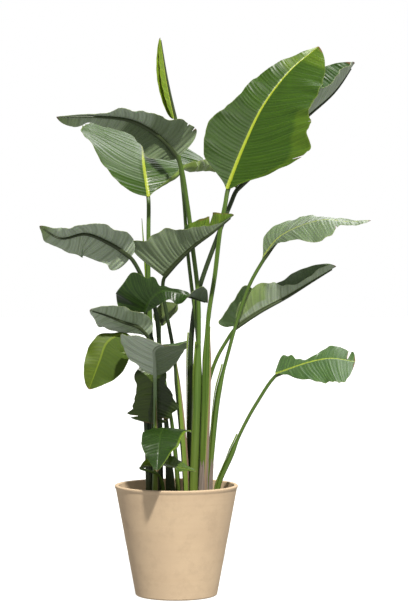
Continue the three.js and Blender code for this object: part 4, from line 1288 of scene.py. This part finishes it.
def paint_blade(tree, colours, face):
    """Living leaf: waxy skin over side veins, glossy above, dulled by a waxy sheen below; painted shade in
    the furrows.
    """
    surface, upper = surface_map(tree), face == 0
    streak = grain(tree, surface, *STREAKS)
    blotch = grain(tree, object_place(tree), 1 / BLOTCH_SIZE, 2)
    waves = {"Vector": surface, "Scale": 2 * WAVE_STEP / VEIN_SPACING, **VEIN_STRAY}
    veins = add_node(tree, "ShaderNodeTexWave", waves, wave_type="BANDS", bands_direction="X").outputs["Fac"]
    tints = {tint: attribute(tree, tint) for tint in TINTS}
    furrow = colours.get("furrow", colours["deep" if upper else "rib"])
    colour = layered(
        tree,
        colours["deep"],
        (ramp(tree, streak, *BRIGHT), colours["bright"]),
        (ramp(tree, blotch, *PATCHY), colours["deep"]),
        (ramp(tree, veins, *VEINED[face]), colours["edge" if upper else "deep"]),
        *((mask, TINTS[tint]) for tint, mask in tints.items()),
        (ramp(tree, attribute(tree, "pleat"), *FURROW_SHADE[face]), furrow),
        (ramp(tree, attribute(tree, "reach"), *AT_EDGE), colours["edge"]),
        (ramp(tree, attribute(tree, "from_rib"), *ON_RIB), colours["rib"]),
        (ramp(tree, times(tree, attribute(tree, "dry"), streak), *DRIED), TINTS["brown"]),
    )
    shine = colours.get("wax", 1)
    gloss = ramp(tree, streak, *(GLOSSY if upper and shine else DULL))
    wax = {"Specular IOR Level": SPECULAR + WAX_SPECULAR * shine}
    if upper:
        wax |= {"Coat Weight": WAX_COAT * shine, "Coat Roughness": WAX_ROUGHNESS}
    else:
        wax["Sheen Weight"] = BLOOM_SHEEN
    roughness = times_plus(tree, tints["deep"], DEEP_DULL, gloss)
    relief = times_plus(tree, veins, VEIN_RELIEF, streak)
    finish_material(
        tree, colour, roughness, relief, BLADE_RELIEF[face], IOR=LIVING_IOR, **LIGHT_THROUGH, **wax
    )


# under: colour of the midrib under the blade, a dark olive in the green and dark tones as painted shade.
STALK_TONES = {
    "green": dict(low="#6c7c2e", brown="#6d5a45", under="#333d20"),
    # The dark tone is a shaded copy of the stalk skin: painted shade for stalks that stand in the shadow of
    # leaves.
    "dark": dict(green="#26361a", pale="#43552a", low="#4a5226", brown="#4a3a2c", under="#333d20"),
    "waxy": dict(green="#5c7a3a", pale="#97a58c", low="#56801c", brown="#6d5a45", under="#8e9a84"),
}
TONE_OF_LEAF = dict.fromkeys((2, 5, 6, 10, 11, 12, 14, 15), "dark") | {13: "waxy"}
STALK_FIBRES = ((6, 22, 1), 4, 0.6)  # scale, detail and roughness of a noise
STALK_BLOTCHES = (9, 2)
FIBRES_PALE = (0.35, 0.75, 0.8)
LOW_DOWN = (0.35, 0, 0.8)
BROWNED = (0.36, 0.55, 0.7)
# Brings in the under colour along the midrib under the blade, painted shade in the green and dark tones.
UNDER_BLADE = (0.97, 1.03, 0.9)
STALK_GLOSS = (0.3, 0.7, 0.52, 0.36)
STALK_RELIEF = (0.3, 0.5 * MM)


def paint_stalk(tree, settings, tone):
    """Living stalk: smooth, firm and fibrous, flushed brown low down; its dark tone and darker midrib under
    the blade are painted shade.
    """
    colours = {"green": settings.green, "pale": settings.pale, **STALK_TONES[tone]}
    fibre = grain(tree, surface_map(tree), *STALK_FIBRES)
    blotch = grain(tree, object_place(tree), *STALK_BLOTCHES)
    rise = attribute(tree, "rise")
    low = ramp(tree, rise, *LOW_DOWN)
    colour = layered(
        tree,
        colours["green"],
        (ramp(tree, fibre, *FIBRES_PALE), colours["pale"]),
        (low, colours["low"]),
        (ramp(tree, times(tree, low, blotch), *BROWNED), colours["brown"]),
        (ramp(tree, rise, *UNDER_BLADE), colours["under"]),
    )
    finish_material(tree, colour, ramp(tree, fibre, *STALK_GLOSS), fibre, STALK_RELIEF, IOR=LIVING_IOR)


SHEATH_EDGE_FIBRES = ((12, 900, 1), 3)
SHEATH_EDGE_GREEN = "#64802c"
SHEATH_EDGE_PALE = "#8a9c42"
RIM_DRIED = (0.84, 0.95, 0.9)
SHEATH_EDGE_ROUGHNESS = 0.5
SHEATH_EDGE_RELIEF = (0.4, 0.4 * MM)


def paint_sheath_edge(tree, settings):
    """Thin edge of a sheath: yellow-green, dried to pinkish brown along its rim."""
    fibre = grain(tree, surface_map(tree), *SHEATH_EDGE_FIBRES)
    colour = layered(
        tree,
        SHEATH_EDGE_GREEN,
        (ramp(tree, fibre, *FIBRES_PALE), SHEATH_EDGE_PALE),
        (ramp(tree, attribute(tree, "edge"), *RIM_DRIED), settings.rim),
    )
    finish_material(tree, colour, SHEATH_EDGE_ROUGHNESS, fibre, SHEATH_EDGE_RELIEF, IOR=LIVING_IOR)


HUSK_FIBRES = ((9, 700, 1), 5, 0.7)
HUSK_BROWN = "#74655a"
HUSK_LAYERS = {"light": (0.4, 0.7, 1, "#9c9186"), "dark": (0.45, 0.25, 1, "#4d332a")}
HUSK_ROUGHNESS = 0.85
HUSK_RELIEF = (0.7, 0.8 * MM)


def paint_husk(tree):
    """Dry leaf base: papery fibres, grey-brown to purple-brown, with no shine."""
    fibre = grain(tree, surface_map(tree), *HUSK_FIBRES)
    layers = brought_in(tree, HUSK_LAYERS, dict.fromkeys(HUSK_LAYERS, fibre))
    finish_material(tree, layered(tree, HUSK_BROWN, *layers), HUSK_ROUGHNESS, fibre, HUSK_RELIEF)


CLAY_NOISES = {"smudge": (9, 3, 0.55), "band": ((5, 5, 90), 3), "stain": (22, 5, 0.7), "speck": (900, 2)}
CLAY_LAYERS = {
    "smudge": (0.3, 0.7, 1, "#d3ba98"),
    "band": (0.45, 0.7, 0.2, "#c2a684"),
    "stain": (0.48, 0.72, 0.5, "#b8a083"),
    "speck": (0.6, 0.75, 0.25, "#ab9070"),
}
CLAY_ROUGHNESS = 0.85
CLAY_BANDS = 0.6  # height of the bands against the grain
CLAY_RELIEF = (0.15, 0.3 * MM)


def paint_clay(tree, settings):
    """Unglazed sand-coloured clay, thrown: matt, finely grained, with faint bands and smudges."""
    place = object_place(tree)
    noises = {key: grain(tree, place, *CLAY_NOISES[key]) for key in CLAY_LAYERS}
    colour = layered(tree, settings.clay, *brought_in(tree, CLAY_LAYERS, noises))
    relief = times_plus(tree, noises["band"], CLAY_BANDS, noises["speck"])
    finish_material(tree, colour, CLAY_ROUGHNESS, relief, CLAY_RELIEF)


SOIL_NOISE = (260, 5, 0.7)
BARK_SCALE = 150
SOIL_LAYERS = {"crumb": (0.4, 0.7, 1, "#4a3828"), "bark": (0.7, 0.9, 0.6, "#6b4f38")}
SOIL_ROUGHNESS = 0.95
SOIL_RELIEF = (0.8, 1.2 * MM)


def paint_soil(tree, settings):
    """Peat soil: dark, crumbly and dull, with paler bark crumbs."""
    place = object_place(tree)
    crumb = grain(tree, place, *SOIL_NOISE)
    cells = add_node(tree, "ShaderNodeTexVoronoi", {"Vector": place, "Scale": BARK_SCALE}).outputs["Color"]
    bark = add_node(tree, "ShaderNodeSeparateColor", {0: cells}).outputs[0]
    colour = layered(tree, settings.earth, *brought_in(tree, SOIL_LAYERS, {"crumb": crumb, "bark": bark}))
    finish_material(tree, colour, SOIL_ROUGHNESS, crumb, SOIL_RELIEF)


FLOOR_ROUGHNESS = 0.9


def paint_floor(tree, settings):
    """A pale matt studio floor, lit from within so that shadows on it stay faint."""
    glow = {"Emission Color": (1, 1, 1, 1), "Emission Strength": settings.floor_glow}
    inputs = {"Base Color": rgba(settings.floor), "Roughness": FLOOR_ROUGHNESS, **glow}
    shader = add_node(tree, "ShaderNodeBsdfPrincipled", inputs)
    add_node(tree, "ShaderNodeOutputMaterial", {"Surface": shader.outputs[0]})


# ---------- stage ----------
CAMERA_PLACE = (73.9 * MM, -5.5, 875 * MM)
CAMERA_TILT = math.radians(1.07)
LENS = 121.24  # millimetres, on a sensor 36 millimetres along the picture's long side
SENSOR = 36
SIGHT = 100
FLOOR_SIZE = 60
AIM = Vector((0, 0, 0.85))
LIGHT_DISTANCE = 3.2  # metres
KEY_WAY = (0.15, -0.6, 0.78)
KEY_COLOUR = (1.0, 0.97, 0.93)
BACK_WAY = (0.38, 0.66, 0.64)
BACK_SIZE = 2.2  # metres


def add_light(kind, name, way, strength):
    """A light that shines on the plant from a given way."""
    deselect_all()
    bpy.ops.object.light_add(type=kind, location=AIM + LIGHT_DISTANCE * Vector(way).normalized())
    light = bpy.context.object
    light.name = name
    light.rotation_euler = Vector(way).to_track_quat("Z", "Y").to_euler()
    light.data.energy = strength
    return light


def make_stage(settings):
    """Floor, sky, lights and the camera at the photo's angle."""
    scene = bpy.context.scene
    scene.view_settings.view_transform = "Standard"
    deselect_all()
    bpy.ops.mesh.primitive_plane_add(size=FLOOR_SIZE, location=(0, 0, 0))
    floor = bpy.context.object
    floor.name = "floor"
    floor.data.materials.append(material("pale_floor", paint_floor, settings))
    floor.visible_diffuse = floor.visible_glossy = False

    world = bpy.data.worlds.new("studio")
    scene.world = world
    world.use_nodes = True
    tree = world.node_tree
    tree.nodes.clear()
    way = add_node(tree, "ShaderNodeTexCoord").outputs["Generated"]
    height = add_node(tree, "ShaderNodeSeparateXYZ", {0: way}).outputs[2]
    dome = ramp(tree, height, -1, 1, settings.fill_above, settings.fill_below)
    seen = add_node(tree, "ShaderNodeLightPath").outputs["Is Camera Ray"]
    strength = ramp(tree, seen, 0, 1, settings.backdrop, dome)
    sky = add_node(tree, "ShaderNodeBackground", {"Color": (1, 1, 1, 1), "Strength": strength})
    add_node(tree, "ShaderNodeOutputWorld", {"Surface": sky.outputs[0]})

    key = add_light("SUN", "key_light", KEY_WAY, settings.key_strength)
    key.data.angle = math.radians(settings.key_softness)
    key.data.color = KEY_COLOUR
    back = add_light("AREA", "back_light", BACK_WAY, settings.back_strength)
    back.data.size = BACK_SIZE
    back.visible_camera = False

    bpy.ops.object.camera_add(location=CAMERA_PLACE, rotation=(math.pi / 2 - CAMERA_TILT, 0, 0))
    camera = bpy.context.object
    camera.data.lens = LENS
    camera.data.sensor_width = SENSOR
    camera.data.clip_end = SIGHT
    scene.camera = camera


# ---------- settings ----------
def colour_setting(name, code, words):
    """A colour that a user may change."""
    return FloatVectorProperty(
        name=name, description=words, subtype="COLOR", size=3, min=0, max=1, default=linear(code)
    )


class PotSettings(bpy.types.PropertyGroup):
    """Colours of the pot and its soil"""

    clay: colour_setting("Clay", "#cbb292", "Colour of the unglazed clay")
    earth: colour_setting("Soil", "#2a1f17", "Colour of the damp soil")


class LeafSettings(bpy.types.PropertyGroup):
    """Thickness and pleats of the blades"""

    thickness: FloatProperty(
        name="Thickness", description="Thickness of a blade", default=0.9 * MM, min=0.0002, unit="LENGTH"
    )
    pleat_spacing: FloatProperty(
        name="Pleat spacing", description="Distance between pleats", default=10 * MM, unit="LENGTH"
    )
    pleat_height: FloatProperty(
        name="Pleat height", description="Height of the pleats", default=0.6 * MM, unit="LENGTH"
    )


class StalkSettings(bpy.types.PropertyGroup):
    """Colours of the stalks"""

    green: colour_setting("Green", "#41601f", "Colour of the stalks")
    pale: colour_setting("Pale green", "#6c8434", "Colour of the stalks' paler fibres")
    rim: colour_setting("Rim", "#917664", "Colour of the dried rim of a sheath")


class StageSettings(bpy.types.PropertyGroup):
    """Floor, backdrop and lights"""

    floor: colour_setting("Floor", "#94948f", "Colour of the studio floor under its glow")
    floor_glow: FloatProperty(name="Floor glow", description="Light from the floor", default=0.93, min=0)
    fill_above: FloatProperty(name="Fill above", description="Light from overhead", default=0.25, min=0)
    fill_below: FloatProperty(name="Fill below", description="Light from the ground", default=0.68, min=0)
    backdrop: FloatProperty(name="Backdrop", description="Brightness of the backdrop", default=1.0, min=0)
    key_strength: FloatProperty(name="Key", description="Strength of the key light", default=4.6, min=0)
    key_softness: FloatProperty(name="Softness", description="Degrees it spans", default=3, min=0)
    back_strength: FloatProperty(name="Back", description="Back light in watts", default=42, min=0)


# ---------- operators ----------
class PLANT_OT_stage(bpy.types.Operator):
    """Adds the floor, the lights and the camera"""

    bl_idname = "plant.stage"
    bl_label = "Stage"

    def execute(self, context):
        make_stage(context.scene.plant_stage)
        return {"FINISHED"}


class PLANT_OT_pot(bpy.types.Operator):
    """Adds the clay pot"""

    bl_idname = "plant.pot"
    bl_label = "Clay pot"

    def execute(self, context):
        make_pot(context.scene.plant_pot)
        return {"FINISHED"}


class PLANT_OT_soil(bpy.types.Operator):
    """Adds the soil in the pot"""

    bl_idname = "plant.soil"
    bl_label = "Soil"

    def execute(self, context):
        make_soil(context.scene.plant_pot)
        return {"FINISHED"}


class PLANT_OT_stalks(bpy.types.Operator):
    """Adds the stalks with their sheaths"""

    bl_idname = "plant.stalks"
    bl_label = "Stalks"

    def execute(self, context):
        for number, leaf in enumerate(LEAVES, 1):
            make_stalk(number, leaf, context.scene.plant_stalk)
        return {"FINISHED"}


class PLANT_OT_husks(bpy.types.Operator):
    """Adds the dry leaf bases"""

    bl_idname = "plant.husks"
    bl_label = "Dry leaf bases"

    def execute(self, context):
        for number, dry in enumerate(DRY_SHEATHS, 1):
            make_husk(number, dry)
        return {"FINISHED"}


class PLANT_OT_blades(bpy.types.Operator):
    """Adds the leaf blades and the rolled leaf"""

    bl_idname = "plant.blades"
    bl_label = "Leaf blades"

    def execute(self, context):
        for number, leaf in enumerate(LEAVES, 1):
            make_blade(number, leaf, context.scene.plant_leaf)
        make_rolled_leaf()
        return {"FINISHED"}


class PLANT_PT_panel(bpy.types.Panel):
    """Buttons for the stage and every group of pieces"""

    bl_idname = "PLANT_PT_panel"
    bl_label = "Potted bird of paradise"
    bl_space_type = "VIEW_3D"
    bl_region_type = "UI"
    bl_category = "Plant"

    def draw(self, context):
        for operator in OPERATORS:
            self.layout.operator(operator.bl_idname)


OPERATORS = (
    PLANT_OT_stage,
    PLANT_OT_pot,
    PLANT_OT_soil,
    PLANT_OT_stalks,
    PLANT_OT_husks,
    PLANT_OT_blades,
)
SETTINGS = {
    "plant_pot": PotSettings,
    "plant_leaf": LeafSettings,
    "plant_stalk": StalkSettings,
    "plant_stage": StageSettings,
}


def register():
    """Registers the settings, the operators and the panel."""
    for group in SETTINGS.values():
        bpy.utils.register_class(group)
    for name, group in SETTINGS.items():
        setattr(bpy.types.Scene, name, PointerProperty(type=group))
    for operator in OPERATORS:
        bpy.utils.register_class(operator)
    bpy.utils.register_class(PLANT_PT_panel)


def unregister():
    """Takes all of it back."""
    bpy.utils.unregister_class(PLANT_PT_panel)
    for operator in reversed(OPERATORS):
        bpy.utils.unregister_class(operator)
    for name, group in reversed(SETTINGS.items()):
        delattr(bpy.types.Scene, name)
        bpy.utils.unregister_class(group)


def main():
    """Dresses the whole plant."""
    register()
    bpy.ops.plant.stage()
    bpy.ops.plant.pot()
    bpy.ops.plant.soil()
    bpy.ops.plant.stalks()
    bpy.ops.plant.husks()
    bpy.ops.plant.blades()


if __name__ == "__main__":
    main()
